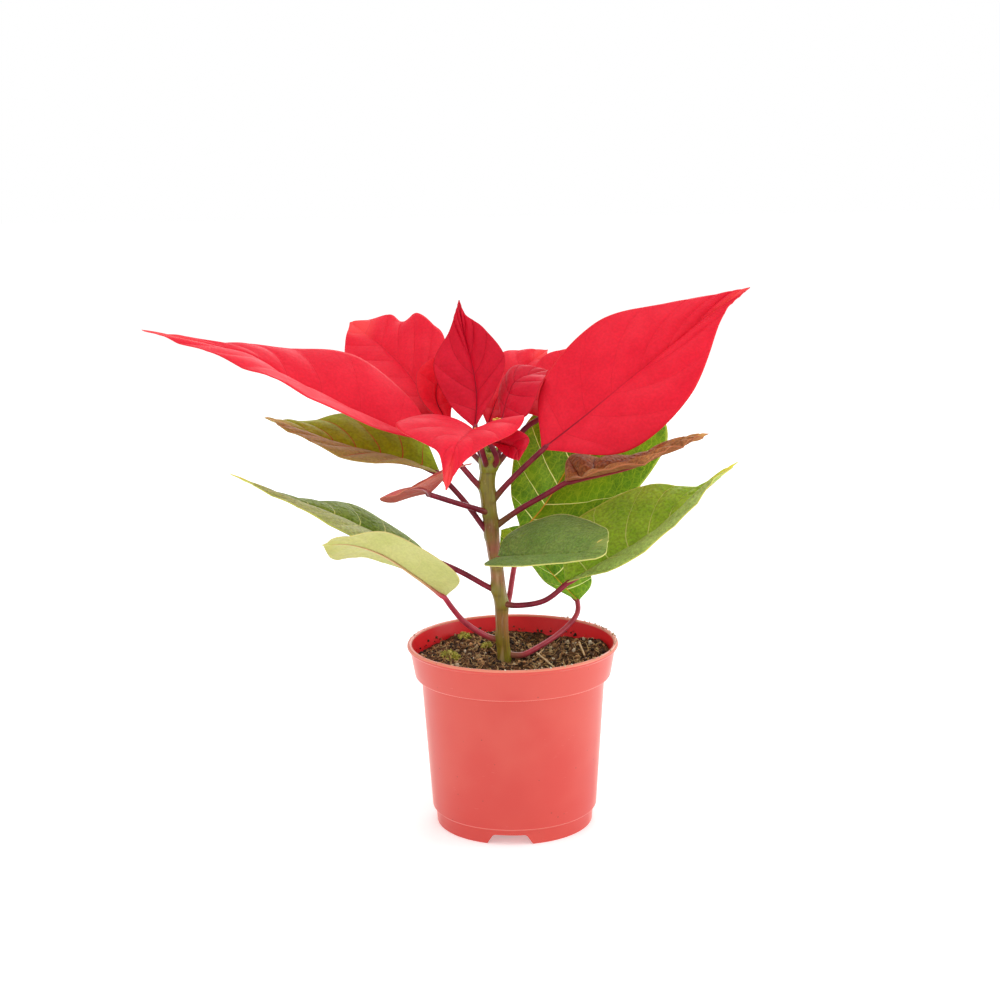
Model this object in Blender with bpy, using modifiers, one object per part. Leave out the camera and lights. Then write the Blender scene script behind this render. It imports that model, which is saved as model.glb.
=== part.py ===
"""Potted poinsettia: a moulded nursery pot, its soil, one leafy stem, its bracts, leaves and small flowers.

Units are metres, Z is up, the pot stands on z = 0. Plant shapes are first written in millimetres about the
pot's axis, then moved by PLANT_AT so that the whole box is centred on the origin.
"""
import math

import bmesh
import bpy
import numpy as np
from mathutils import Matrix

# Driving dimensions, in millimetres
MM = 0.001
PLANT_AT = (27.5, -3.9)
GAP = 0.3

POT_HEIGHT = 92.0
LIP_RADIUS = 52.5
LIP_WIDTH = 2.4
BAND_TOP_RADIUS = 51.0
BAND_LOW_RADIUS = 48.7
BAND_LOW_Z = 75.5
BODY_TOP_RADIUS = 45.6
BODY_LOW_RADIUS = 41.2
FOOT_STEP_Z = 8.0
FOOT_RADIUS = 39.1
WALL = 1.2
FLOOR_Z = 5.0
NOTCH_TOP, NOTCH_FLOOR, NOTCH_HEIGHT = 16.3, 22.0, 5.0
NOTCH_ANGLES = (-93.7, 26.3, 146.3)
DRAIN_RADIUS, DRAIN_CIRCLE, DRAINS = 4.0, 26.0, 6

SOIL_TOP = 83.6
SOIL_RINGS, SOIL_SIDES = 8, 44
SOIL_SEED = 5

STEM_SIDES = 14
STEM_PATH = [(-4.0, 0, 54), (-4.0, 0, 66), (-4.3, 0, 79), (-4.8, 0, 91), (-5.2, 0, 102), (-5.4, 0, 111),
             (-6.6, 0, 119), (-7.4, 0, 129), (-8.8, 0, 139), (-9.8, 0, 150), (-10.9, 0, 161),
             (-11.5, 0, 171), (-10.6, 0, 180), (-9.8, 0, 187)]
STEM_RADII = [3.6, 3.6, 3.2, 3.2, 3.1, 3.3, 3.5, 3.3, 3.3, 3.6, 3.7, 3.9, 3.8, 3.2]
STEM_FOOT_RADIUS = 3.6
# Buds at the stem's top: centre and radius
BUDS = [(-9.4, 1.0, 189.2, 1.8), (-11.4, -0.4, 188.6, 1.6), (-9.4, -1.7, 190.2, 1.6)]

BLADE_THICK = 0.8
SLANT, ARCH, MIDRIB_GROOVE = 0.16, 0.22, 0.6
PETIOLE_RADIUS = 1.55

# Leaf blades: midrib from base to tip, then the margins seen with the upper face up, all in millimetres
BLADES = {
    "bract_left": dict(
        mid=[(-38, -6, 194), (-60, -13, 204), (-84, -19, 216), (-105, -23, 228), (-121, -24, 239),
             (-145, -22, 245), (-173, -18, 251)],
        left=[(-62, -36, 205), (-87, -52, 221), (-106, -54, 231), (-123, -46, 237), (-149, -32, 245)],
        right=[(-48, 6, 213), (-73, 8, 233), (-101, 2, 239), (-125, -8, 242), (-148, -16, 246)]),
    "bract_back_left": dict(
        mid=[(-31, 15, 196), (-41, 30, 208), (-53, 48, 222), (-68, 66, 234), (-83, 80, 243)],
        left=[(-53, 16, 204), (-71, 34, 215), (-84, 58, 228)],
        right=[(-29, 32, 214), (-33, 54, 237), (-39, 64, 243), (-48, 72, 248), (-56, 77, 244),
               (-64, 81, 246)]),
    "bract_behind": dict(
        mid=[(-29, 8, 198), (-36, 17, 211), (-34, 25, 223), (-30, 32, 234)],
        left=[(-43, 11, 211), (-45, 21, 225)],
        right=[(-28, 16, 209), (-20, 25, 224)]),
    "bract_upright": dict(
        mid=[(-17, 0, 199), (-16, 8, 213), (-18, 13, 228), (-22, 16, 244), (-24, 15, 260)],
        left=[(-30, 6, 211), (-37, 10, 229), (-29, 15, 245), (-26, 15, 254)],
        right=[(-7, 6, 216), (-2, 10, 232), (-12, 15, 246), (-21, 15, 253)]),
    "bract_front": dict(
        mid=[(-15, -15, 197), (-17, -30, 203), (-20, -46, 204), (-25, -62, 200), (-29, -74, 183)],
        left=[(6, -24, 208), (1, -40, 203), (-20, -64, 195)],
        right=[(-35, -22, 210), (-53, -42, 207), (-34, -64, 200)]),
    "bract_front_right": dict(
        mid=[(-11, -13, 195), (-3, -22, 195), (3, -29, 194), (4, -34, 189)],
        left=[(-1, -20, 202), (9, -26, 198)],
        right=[(-6, -22, 193), (-1, -31, 190)]),
    "bract_right": dict(
        mid=[(15, -12, 190), (37, -6, 206), (63, 1, 226), (90, 9, 245), (118, 18, 264)],
        left=[(16, 6, 219), (43, 16, 248), (79, 20, 257), (104, 19, 261)],
        right=[(55, -20, 190), (86, -12, 215), (102, 4, 248), (110, 13, 258)]),
    "bract_back_right": dict(
        mid=[(-11, 13, 198), (-5, 32, 211), (6, 50, 221), (20, 66, 229)],
        left=[(-15, 29, 210), (-4, 58, 228)],
        right=[(4, 24, 205), (16, 42, 215)]),
    "bract_inner_right": dict(
        mid=[(-4, 3, 202), (-1, 9, 213), (4, 13, 221), (19, 16, 225)],
        left=[(-5, 16, 214), (2, 24, 226)],
        right=[(8, -6, 206), (15, 0, 219)]),
    "bract_behind_right": dict(
        mid=[(15, 12, 202), (20, 28, 211), (26, 44, 221), (33, 58, 231)],
        left=[(4, 18, 208), (16, 44, 227)],
        right=[(28, 22, 209), (38, 40, 224)]),
    "leaf_upper_left": dict(
        mid=[(-34, -5, 178), (-52, -8, 186), (-74, -10, 192), (-96, -10, 199), (-118, -8, 207)],
        left=[(-51, -26, 186), (-78, -32, 191), (-103, -24, 202)],
        right=[(-47, 10, 198), (-78, 12, 205), (-102, 4, 203)]),
    "leaf_mid_left": dict(
        mid=[(-40, -8, 137), (-62, -14, 149), (-84, -19, 161), (-109, -23, 172), (-133, -26, 183)],
        left=[(-57, -30, 144), (-83, -38, 159), (-110, -35, 173)],
        right=[(-53, 2, 147), (-79, 0, 162), (-108, -12, 168)]),
    "leaf_low_left": dict(
        mid=[(-32, -20, 120), (-46, -28, 133), (-61, -34, 145), (-76, -38, 151), (-89, -40, 151)],
        left=[(-26, -38, 135), (-57, -48, 158), (-78, -46, 156)],
        right=[(-49, -14, 131), (-69, -20, 140), (-84, -26, 140)]),
    "leaf_back_right": dict(
        mid=[(5, 15, 144), (17, 27, 155), (31, 41, 174), (48, 55, 196), (68, 68, 216)],
        left=[(0, 22, 167), (8, 42, 194), (35, 60, 212)],
        right=[(46, 24, 147), (79, 42, 181), (75, 60, 203)]),
    "leaf_brown_right": dict(
        mid=[(26, -10, 174), (42, -14, 178), (59, -18, 183), (76, -21, 191), (94, -24, 199)],
        left=[(31, 6, 184), (60, 4, 183), (80, -12, 194)],
        right=[(37, -34, 182), (60, -40, 188), (79, -34, 195)]),
    "leaf_low_right": dict(
        mid=[(26, -8, 123), (47, -8, 135), (67, -6, 146), (87, -4, 162), (111, 0, 181)],
        left=[(28, 14, 145), (63, 20, 165), (91, 10, 167)],
        right=[(51, -28, 136), (76, -28, 153), (95, -14, 171)]),
    "leaf_front": dict(
        mid=[(-7, -15, 138), (5, -25, 141), (19, -36, 144), (32, -46, 147), (45, -52, 154)],
        left=[(-1, -4, 147), (24, -6, 157), (44, -32, 156)],
        right=[(-12, -36, 139), (15, -56, 144), (40, -62, 148)]),
    "leaf_low_back": dict(
        mid=[(34, 30, 104), (25, 29, 114), (15, 28, 125), (5, 27, 134), (-5, 25, 143)],
        left=[(17, 22, 116), (7, 18, 129), (-5, 20, 134)],
        right=[(41, 38, 114), (30, 40, 136), (7, 34, 143)]),
    "leaf_small_left": dict(
        mid=[(-39, -20, 171), (-41, -32, 176), (-44, -44, 179), (-47, -54, 180)],
        left=[(-28, -28, 182), (-19, -38, 189)],
        right=[(-54, -26, 169), (-61, -40, 172)]),
}
# Rows along, columns per half, depth of the side vein pleats, height and count of the margin's waves
DETAIL = {
    "bract_left": (16, 4, 0.5, 0.8, 4),
    "bract_back_left": (14, 4, 0.6, 1.4, 3),
    "bract_behind": (8, 3, 0.3, 0, 1),
    "bract_upright": (14, 4, 0.6, 0.3, 2),
    "bract_front": (14, 4, 0.4, 1.0, 3),
    "bract_front_right": (8, 3, 0.3, 0, 1),
    "bract_right": (16, 4, 0.5, 0.5, 2),
    "bract_back_right": (12, 3, 0.7, 0.6, 3),
    "bract_inner_right": (10, 3, 0.4, 0.3, 2),
    "bract_behind_right": (8, 3, 0.4, 0, 1),
    "leaf_upper_left": (16, 4, 0.6, 0.6, 3),
    "leaf_mid_left": (16, 4, 0.5, 0.5, 3),
    "leaf_low_left": (14, 4, 0.4, 0.8, 2),
    "leaf_back_right": (16, 4, 0.5, 0.5, 2),
    "leaf_brown_right": (16, 4, 0.8, 1.0, 4),
    "leaf_low_right": (16, 4, 0.6, 0.8, 3),
    "leaf_front": (14, 4, 0.5, 0.4, 2),
    "leaf_low_back": (12, 3, 0.5, 0.4, 2),
    "leaf_small_left": (8, 3, 0.4, 0.8, 2),
}
# Leaf stalks: from inside the stem to the base of the blade
STALKS = {
    "bract_left": [(-13, 0, 168), (-18, -3, 174), (-27, -6, 185), (-38, -6, 194)],
    "bract_back_left": [(-11, 0, 179), (-18, 6, 185), (-25, 12, 191), (-31, 15, 196)],
    "bract_behind": [(-10, 0, 183), (-16, 5, 189), (-22, 7, 194), (-29, 8, 198)],
    "bract_upright": [(-10, 0, 181), (-14.5, -1.5, 187), (-16, -1, 193), (-17, 0, 199)],
    "bract_front": [(-11, 0, 178), (-13, -9, 187), (-15, -15, 197)],
    "bract_front_right": [(-10, 0, 178), (-6.5, -6, 184), (-8, -10, 190), (-11, -13, 195)],
    "bract_right": [(-9, 0, 163), (0, -5, 174), (15, -12, 190)],
    "bract_back_right": [(-10, 0, 180), (-8.5, 6, 186), (-9.5, 10, 192), (-11, 13, 198)],
    "bract_inner_right": [(-9.8, 0, 181.5), (-5.5, 0, 187), (-4, 2, 194), (-4, 3, 202)],
    "bract_behind_right": [(-9, 0, 178), (-2, 4, 186), (7, 8, 197), (15, 12, 202)],
    "leaf_upper_left": [(-9, 1, 143), (-13, 0, 149), (-23, -3, 164), (-34, -5, 178)],
    "leaf_mid_left": [(-6, 0, 117), (-12, -1, 120), (-26, -4, 129), (-40, -8, 137)],
    "leaf_low_left": [(-5, 1, 92), (-13, -2, 95), (-23, -10, 104), (-29, -16, 113), (-32, -20, 120)],
    "leaf_back_right": [(-6, 2, 106), (-2, 6, 110), (1, 10, 126), (5, 15, 144)],
    "leaf_brown_right": [(-8, 0, 150), (4, -3, 159), (17, -6, 167), (26, -10, 174)],
    "leaf_low_right": [(-6, -1, 112), (2, -4, 111), (16, -7, 114), (26, -8, 123)],
    "leaf_front": [(-7, 0, 130), (-7, -8, 134), (-7, -15, 138)],
    "leaf_low_back": [(-3.5, 0.5, 85), (4, 1, 84), (11, 5, 86), (24, 18, 90.5), (33, 27, 97.5), (34, 30, 104)],
    "leaf_small_left": [(-9, 0, 156), (-16, -6, 160), (-27, -13, 165), (-39, -20, 171)],
}
# The flowers' feet: from just above a bud to the glands
FLOWERS = {
    "cyathium": [(-9.4, -1.7, 193.0), (-7.2, -2.4, 198), (-6.2, -2.8, 203)],
    "cyathium_left": [(-11.6, -0.8, 191.4), (-13.8, -4.0, 194), (-15.0, -5.2, 196.4), (-15.2, -5.4, 199)],
}

# Colours from the photo, as 8-bit display values
COLOURS = {
    "pot": (226, 92, 80), "soil": (62, 47, 36), "stem": (112, 112, 58), "stalk": (136, 38, 58),
    "bract": (226, 36, 54), "bract_dark": (186, 22, 42), "leaf": (92, 134, 46), "leaf_pale": (168, 186, 104),
    "leaf_brown": (132, 74, 62), "cup": (186, 40, 44), "glands": (222, 196, 70),
}
BLADE_COLOUR = {
    "bract_upright": "bract_dark", "bract_behind": "bract_dark", "bract_front_right": "bract_dark",
    "bract_inner_right": "bract_dark", "leaf_low_left": "leaf_pale", "leaf_brown_right": "leaf_brown",
    "leaf_small_left": "leaf_brown",
}


def display_to_linear(value):
    """The linear value of one 8-bit display value."""
    value /= 255.0
    return value / 12.92 if value <= 0.04045 else ((value + 0.055) / 1.055) ** 2.4


def material(name, key, roughness):
    """A plain Principled material of its own for one piece."""
    made = bpy.data.materials.new(name)
    made.use_nodes = True
    shader = made.node_tree.nodes["Principled BSDF"]
    shader.inputs["Base Color"].default_value = [display_to_linear(v) for v in COLOURS[key]] + [1.0]
    shader.inputs["Roughness"].default_value = roughness
    return made


def collection(name):
    made = bpy.data.collections.new(name)
    bpy.context.scene.collection.children.link(made)
    return made


def add_object(name, mesh, home, colour=None, roughness=0.5):
    made = bpy.data.objects.new(name, mesh)
    home.objects.link(made)
    if colour:
        mesh.materials.append(material(name, colour, roughness))
    return made


def shifted(points):
    """Millimetres about the pot's axis to metres in the part's frame."""
    return (np.asarray(points, float) + (*PLANT_AT, 0.0)) * MM


def surface(name, grid, smooth=True):
    """Blender's flat grid moved onto a table of points, rows x columns; points that meet are welded."""
    rows, columns = grid.shape[:2]
    edit = bmesh.new()
    bmesh.ops.create_grid(edit, x_segments=columns - 1, y_segments=rows - 1, size=1.0)
    edit.verts.ensure_lookup_table()
    for vertex, place in zip(edit.verts, shifted(grid.reshape(-1, 3))):
        vertex.co = place
    bmesh.ops.remove_doubles(edit, verts=edit.verts, dist=0.00001)
    bmesh.ops.triangulate(edit, faces=edit.faces, quad_method="FIXED")
    bmesh.ops.recalc_face_normals(edit, faces=edit.faces)
    mesh = bpy.data.meshes.new(name)
    edit.to_mesh(mesh)
    edit.free()
    mesh.polygons.foreach_set("use_smooth", [smooth] * len(mesh.polygons))
    return mesh


def boolean(target, cutter, operation="DIFFERENCE"):
    change = target.modifiers.new(operation.title(), "BOOLEAN")
    change.operation, change.object, change.solver = operation, cutter, "EXACT"


def hide_cutter(cutter):
    cutter.hide_render = True
    cutter.display_type = "WIRE"


def spline(points, place):
    """Catmull-Rom curve through the points, read at each place from 0 (first point) to 1 (last point)."""
    points = np.asarray(points, float)
    last = len(points) - 1
    place = np.asarray(place) * last
    piece = np.clip(place.astype(int), 0, last - 1)
    f = (place - piece)[..., None]
    padded = np.vstack([2 * points[0] - points[1], points, 2 * points[-1] - points[-2]])
    a, b, c, d = (padded[piece + k] for k in range(4))
    return 0.5 * (2 * b + (c - a) * f + (2 * a - 5 * b + 4 * c - d) * f**2 + (3 * b - a - 3 * c + d) * f**3)


def unit(vectors):
    return vectors / (np.linalg.norm(vectors, axis=-1, keepdims=True) + 1e-12)


def blade_sheet(mid, left, right, rows, half, pleat, wave, waves):
    """Points of an open leaf sheet, rows x columns. A row starts on the midrib and runs out and forward
    to the margins as a side vein does. Each half has a slight arch; odd rows are puffed up between the
    sunk veins, the midrib lies in a groove and the margin waves."""
    across = np.linspace(-1, 1, 2 * half + 1)[None, :]
    reach = np.abs(across)
    row = np.linspace(0, 1, rows + 1)[:, None]
    place = row + SLANT * reach**1.2 * 4 * row * (1 - row)
    centre = spline(mid, place)
    margins = [spline(mid[:1] + side + mid[-1:], place) for side in (left, right)]
    side = np.where(across[..., None] < 0, margins[0], margins[1]) - centre
    sheet = centre + side * reach[..., None]
    normal = unit(np.cross(np.gradient(sheet, axis=1), np.gradient(sheet, axis=0)))
    fade = np.sin(np.pi * row) ** 0.5
    puff = np.where(np.arange(rows + 1) % 2, 1, -1)[:, None]
    lift = ARCH * np.linalg.norm(side, axis=-1) * reach * (1 - reach)
    lift = lift + pleat * fade * puff * np.sin(np.pi * 0.9 * reach)
    lift = lift - MIDRIB_GROOVE * fade * (reach == 0)
    lift = lift + wave * fade * np.sin(2 * np.pi * waves * row + 1.3 * np.sign(across)) * reach**3
    return sheet + normal * lift[..., None]


def blade(name, home):
    """An open, triangulated sheet that narrows to a point at its base and tip, thickened by Solidify."""
    rows, half, pleat, wave, waves = DETAIL[name]
    sheet = blade_sheet(**BLADES[name], rows=rows, half=half, pleat=pleat, wave=wave, waves=waves)
    sheet[0], sheet[-1] = BLADES[name]["mid"][0], BLADES[name]["mid"][-1]
    colour = BLADE_COLOUR.get(name, "bract" if name.startswith("bract") else "leaf")
    made = add_object(name, surface(name, sheet), home, colour, 0.5)
    thick = made.modifiers.new("Solidify", "SOLIDIFY")
    thick.thickness, thick.offset = BLADE_THICK * MM, 0.0
    return made


def curve_mesh(name, path, radii, sides):
    """A closed tube along the path from a bevelled curve with filled caps."""
    curve = bpy.data.curves.new(name, "CURVE")
    curve.dimensions, curve.bevel_depth = "3D", MM
    curve.bevel_resolution, curve.use_fill_caps = (sides - 4) // 2, True
    line = curve.splines.new("POLY")
    line.points.add(len(path) - 1)
    for point, place, radius in zip(line.points, shifted(path), radii):
        point.co, point.radius = (*place, 1.0), radius
    holder = bpy.data.objects.new(name, curve)
    bpy.context.scene.collection.objects.link(holder)
    mesh = bpy.data.meshes.new_from_object(holder.evaluated_get(bpy.context.evaluated_depsgraph_get()))
    bpy.data.objects.remove(holder)
    edit = bmesh.new()
    edit.from_mesh(mesh)
    bmesh.ops.remove_doubles(edit, verts=edit.verts, dist=1e-6)
    bmesh.ops.recalc_face_normals(edit, faces=edit.faces)
    edit.to_mesh(mesh)
    edit.free()
    mesh.polygons.foreach_set("use_smooth", [len(face.vertices) <= 4 for face in mesh.polygons])
    mesh.name = name
    return mesh


def stem_mesh(name, extra=0.0):
    """The stem as stacked rings, a little swollen where each leaf stalk leaves it, pointed at each end."""
    rings = 42
    height = np.linspace(0, 1, rings)
    centre = spline(STEM_PATH, height)
    radius = spline([(r, 0, 0) for r in STEM_RADII], height)[:, 0] + extra
    turn = np.linspace(0, 2 * math.pi, STEM_SIDES + 1)
    out = np.stack([np.cos(turn), np.sin(turn), 0 * turn], -1)
    points = centre[:, None] + out[None] * radius[:, None, None]
    for path in STALKS.values():
        scar = path[0] + 3.5 * unit(np.subtract(path[1], path[0]))
        close = np.exp(-(np.linalg.norm(points - scar, axis=-1) / 3.2) ** 2)[..., None]
        points = points + out[None] * 0.9 * close
    points = points + out[None] * 0.12 * np.sin(5 * turn)[None, :, None]
    ends = [np.broadcast_to(end, points[:1].shape) for end in (centre[0], centre[-1] + (0, 0, 1.6))]
    return surface(name, np.concatenate([ends[0], points, ends[1]]))


def pot_profile():
    """Radius and height along the wall, from the middle of the underside to the middle of the floor."""
    inner = BODY_LOW_RADIUS - WALL - 0.4
    foot = [(0, FLOOR_Z), (FOOT_RADIUS - 2.2, FLOOR_Z), (FOOT_RADIUS - WALL, FLOOR_Z - 1.0),
            (FOOT_RADIUS - WALL, 0), (FOOT_RADIUS, 0), (FOOT_RADIUS + 0.5, FOOT_STEP_Z - 0.6),
            (BODY_LOW_RADIUS, FOOT_STEP_Z + 0.4)]
    band = [(BODY_TOP_RADIUS, BAND_LOW_Z - 0.8), (BODY_TOP_RADIUS + 0.4, BAND_LOW_Z - 0.2),
            (BAND_LOW_RADIUS - 0.5, BAND_LOW_Z), (BAND_LOW_RADIUS, BAND_LOW_Z + 0.6),
            (BAND_TOP_RADIUS, POT_HEIGHT - 2.6)]
    lip = [(LIP_RADIUS - 0.3, POT_HEIGHT - 2.0), (LIP_RADIUS, POT_HEIGHT - 1.2),
           (LIP_RADIUS - 0.5, POT_HEIGHT - 0.2), (LIP_RADIUS - 1.2, POT_HEIGHT),
           (LIP_RADIUS - LIP_WIDTH, POT_HEIGHT - 0.4)]
    inside = [(BAND_TOP_RADIUS - WALL - 0.1, POT_HEIGHT - 2.6), (BAND_LOW_RADIUS - WALL, BAND_LOW_Z + 1.6),
              (BODY_TOP_RADIUS - WALL, BAND_LOW_Z - 1.6), (inner, FLOOR_Z + 3.0),
              (inner - 1.2, FLOOR_Z + 1.4), (0, FLOOR_Z + 1.4)]
    return foot + band + lip + inside


def inner_radius(height):
    """The pot's inner radius at a height, read from its profile."""
    wall = [(BODY_LOW_RADIUS - WALL - 0.4, FLOOR_Z + 3.0), (BODY_TOP_RADIUS - WALL, BAND_LOW_Z - 1.6),
            (BAND_LOW_RADIUS - WALL, BAND_LOW_Z + 1.6), (BAND_TOP_RADIUS - WALL - 0.1, POT_HEIGHT - 2.6)]
    return np.interp(height, [z for _, z in wall], [r for r, _ in wall])


def notch_cutter(home):
    """Tapered blocks, joined in one mesh, that cut the drainage notches through the foot ring."""
    edit = bmesh.new()
    for angle in NOTCH_ANGLES:
        block = bmesh.ops.create_cube(edit, size=1.0)["verts"]
        for vertex in block:
            x, y, z = vertex.co
            width, level = (NOTCH_TOP, NOTCH_HEIGHT) if z > 0 else (NOTCH_FLOOR + 1.0, -0.5)
            vertex.co = (FOOT_RADIUS - 1 + 12 * x, width * y, level)
        turn = Matrix.Rotation(math.radians(angle), 3, "Z")
        bmesh.ops.rotate(edit, verts=block, cent=(0, 0, 0), matrix=turn)
    for vertex in edit.verts:
        vertex.co = shifted([vertex.co])[0]
    return cutter("notch_cutter", edit, home)


def cutter(name, edit, home):
    """A mesh that a Boolean uses and the render hides."""
    mesh = bpy.data.meshes.new(name)
    bmesh.ops.recalc_face_normals(edit, faces=edit.faces)
    edit.to_mesh(mesh)
    edit.free()
    made = add_object(name, mesh, home)
    hide_cutter(made)
    return made


def cylinder(name, home, radius, low, high, at, sides=24):
    """An upright cylinder made by Blender's own cone operator."""
    edit = bmesh.new()
    bmesh.ops.create_cone(edit, cap_ends=True, segments=sides, radius1=radius * MM, radius2=radius * MM,
                          depth=(high - low) * MM)
    bmesh.ops.translate(edit, verts=edit.verts, vec=shifted([(at[0], at[1], (low + high) / 2)])[0])
    return cutter(name, edit, home)


def pot(home, cutters):
    """The moulded pot: its wall profile turned once round the axis, less the notches and the drain holes."""
    profile = pot_profile()
    mesh = bpy.data.meshes.new("pot")
    edges = [(k, k + 1) for k in range(len(profile) - 1)]
    mesh.from_pydata([(r * MM, 0, z * MM) for r, z in profile], edges, [])
    made = add_object("pot", mesh, home, "pot", 0.35)
    made.location = (PLANT_AT[0] * MM, PLANT_AT[1] * MM, 0)
    turn = made.modifiers.new("Screw", "SCREW")
    turn.axis, turn.angle, turn.steps, turn.render_steps = "Z", 2 * math.pi, 44, 44
    turn.use_merge_vertices, turn.merge_threshold, turn.use_smooth_shade = True, 0.00001, True
    turn.use_normal_calculate = True
    boolean(made, notch_cutter(cutters))
    for k in range(DRAINS):
        a = math.radians(60 * k + 20)
        at = (DRAIN_CIRCLE * math.cos(a), DRAIN_CIRCLE * math.sin(a))
        boolean(made, cylinder(f"drain_cutter_{k + 1}", cutters, DRAIN_RADIUS, -1, FLOOR_Z + 4, at, 10))
    return made


def soil_height(x, y):
    """Height of the peat: a gentle mound, a hollow at the back right and seeded lumps."""
    draw = np.random.default_rng(SOIL_SEED)
    height = SOIL_TOP + 0.6 * np.sin(x / 9.0) * np.cos(y / 7.0)
    height = height - 3.2 * np.exp(-((x - 3) ** 2 + y**2) / 110.0)
    height = height - 5.0 * np.exp(-((x - 14) ** 2 + (y - 34) ** 2) / 130.0)
    height = height + 3.0 * np.exp(-((x - 44) ** 2 + (y - 8) ** 2) / 170.0)
    for at_x, at_y, high, wide in draw.uniform((-42, -42, -1.0, 3.5), (42, 42, 2.0, 7.0), (46, 4)):
        height = height + high * np.exp(-((x - at_x) ** 2 + (y - at_y) ** 2) / wide**2)
    return height


def soil(home, cutters):
    """Peat that fills the pot with an even gap to the wall, a rough top and a plain hole for the stem."""
    turn = np.linspace(0, 2 * math.pi, SOIL_SIDES + 1)
    out = np.stack([np.cos(turn), np.sin(turn)], -1)
    shrink = (GAP + 0.15) / math.cos(math.pi / SOIL_SIDES)
    floor = FLOOR_Z + 1.4 + GAP
    levels = [(0, floor), (inner_radius(FLOOR_Z + 3) - 2.2, floor),
              (inner_radius(FLOOR_Z + 3), FLOOR_Z + 3.2),
              (inner_radius(BAND_LOW_Z - 1.6), BAND_LOW_Z - 1.4),
              (inner_radius(BAND_LOW_Z + 1.6), BAND_LOW_Z + 2.0)]
    rings = [np.column_stack([out * max(r - shrink, 0), np.full(SOIL_SIDES + 1, z)]) for r, z in levels]
    for k in range(SOIL_RINGS + 1):
        flat = out * (inner_radius(SOIL_TOP - 2) - shrink) * (1 - k / SOIL_RINGS)
        height = soil_height(flat[:, 0], flat[:, 1])
        rings.append(np.column_stack([flat, np.maximum(height, BAND_LOW_Z + 2.4)]))
    made = add_object("soil", surface("soil", np.stack(rings)), home, "soil", 0.95)
    foot = STEM_PATH[0]
    hole = cylinder("stem_hole", cutters, STEM_FOOT_RADIUS + GAP + 0.2, foot[2] - GAP, 100, foot[:2], 20)
    boolean(made, hole)
    return made


def stem(home, cutters):
    """The green main stem with the small closed buds at its top."""
    made = add_object("stem", stem_mesh("stem"), home, "stem", 0.55)
    for k, (x, y, z, size) in enumerate(BUDS):
        edit = bmesh.new()
        bmesh.ops.create_uvsphere(edit, u_segments=8, v_segments=6, radius=size * MM)
        bmesh.ops.scale(edit, verts=edit.verts, vec=(1, 1, 1.5))
        bmesh.ops.translate(edit, verts=edit.verts, vec=shifted([(x, y, z)])[0])
        boolean(made, cutter(f"bud_{k + 1}", edit, cutters), "UNION")
    return made


def stalk(name, home, clearance):
    """A leaf stalk whose root follows the stem's surface and whose end stops just short of the blade."""
    path = np.array(STALKS[name], float)
    path[-1] -= unit(path[-1] - path[-2]) * (GAP + 0.5 * BLADE_THICK + 0.2)
    u = np.linspace(0, 1, 9)
    line = spline(path, u)
    size = PETIOLE_RADIUS * (1.0 + 0.25 * np.exp(-u / 0.12) - 0.15 * u)
    made = add_object(name + "_stalk", curve_mesh(name + "_stalk", line, size, 8), home, "stalk", 0.4)
    boolean(made, clearance)
    return made


def flower(name, path, home):
    """A cyathium: a red cup on its short foot and, just above it, the yellow glands as one lobed ring."""
    line = spline(path, np.linspace(0, 1, 6))
    add_object(name, curve_mesh(name, line, [0.7, 0.7, 0.75, 1.3, 1.7, 1.3], 8), home, "cup", 0.4)
    turn = np.linspace(0, 2 * math.pi, 21)
    lobes = 1.25 + 0.45 * np.cos(5 * turn)
    low = line[-1] + (0, 0, GAP + 0.2)
    round_about = np.column_stack([np.cos(turn) * lobes, np.sin(turn) * lobes, 0 * turn])
    levels = ((0, 0), (0.7, 0), (1.0, 0.5), (0.6, 1.1), (0, 0.8))
    rings = [round_about * wide + low + (0, 0, high) for wide, high in levels]
    add_object(name + "_glands", surface(name + "_glands", np.stack(rings)), home, "glands", 0.5)


def main():
    for old in list(bpy.data.objects):
        bpy.data.objects.remove(old)
    home, cutters = collection("poinsettia"), collection("cutters")
    pot(home, cutters)
    soil(home, cutters)
    stem(home, cutters)
    clearance = add_object("stem_clearance", stem_mesh("stem_clearance", GAP + 0.05), cutters)
    hide_cutter(clearance)
    for name in BLADES:
        blade(name, home)
        stalk(name, home, clearance)
    for name, path in FLOWERS.items():
        flower(name, path, home)


main()
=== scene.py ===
import math

import bmesh
import bpy
import numpy as np
from mathutils import Matrix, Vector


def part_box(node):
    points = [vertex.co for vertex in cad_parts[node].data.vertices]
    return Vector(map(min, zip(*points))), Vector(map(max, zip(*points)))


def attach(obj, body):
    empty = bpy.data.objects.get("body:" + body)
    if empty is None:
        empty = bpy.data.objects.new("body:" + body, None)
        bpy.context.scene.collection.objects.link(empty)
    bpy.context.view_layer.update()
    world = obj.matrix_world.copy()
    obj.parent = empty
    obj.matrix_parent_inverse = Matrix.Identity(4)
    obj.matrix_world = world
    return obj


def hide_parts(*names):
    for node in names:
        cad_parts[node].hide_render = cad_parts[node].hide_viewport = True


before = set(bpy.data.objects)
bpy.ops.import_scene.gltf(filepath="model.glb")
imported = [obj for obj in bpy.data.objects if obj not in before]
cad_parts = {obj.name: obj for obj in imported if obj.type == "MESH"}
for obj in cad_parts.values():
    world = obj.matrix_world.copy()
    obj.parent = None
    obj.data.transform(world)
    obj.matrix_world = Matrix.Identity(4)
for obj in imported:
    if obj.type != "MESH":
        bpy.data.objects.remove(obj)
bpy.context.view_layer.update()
MM = 0.001
pot_low, pot_high = (np.array(corner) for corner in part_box("pot"))
POT_AXIS = np.array([*(pot_low + pot_high)[:2] / 2, 0.0])
print("pot axis in millimetres:", (POT_AXIS / MM).round(2))

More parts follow.
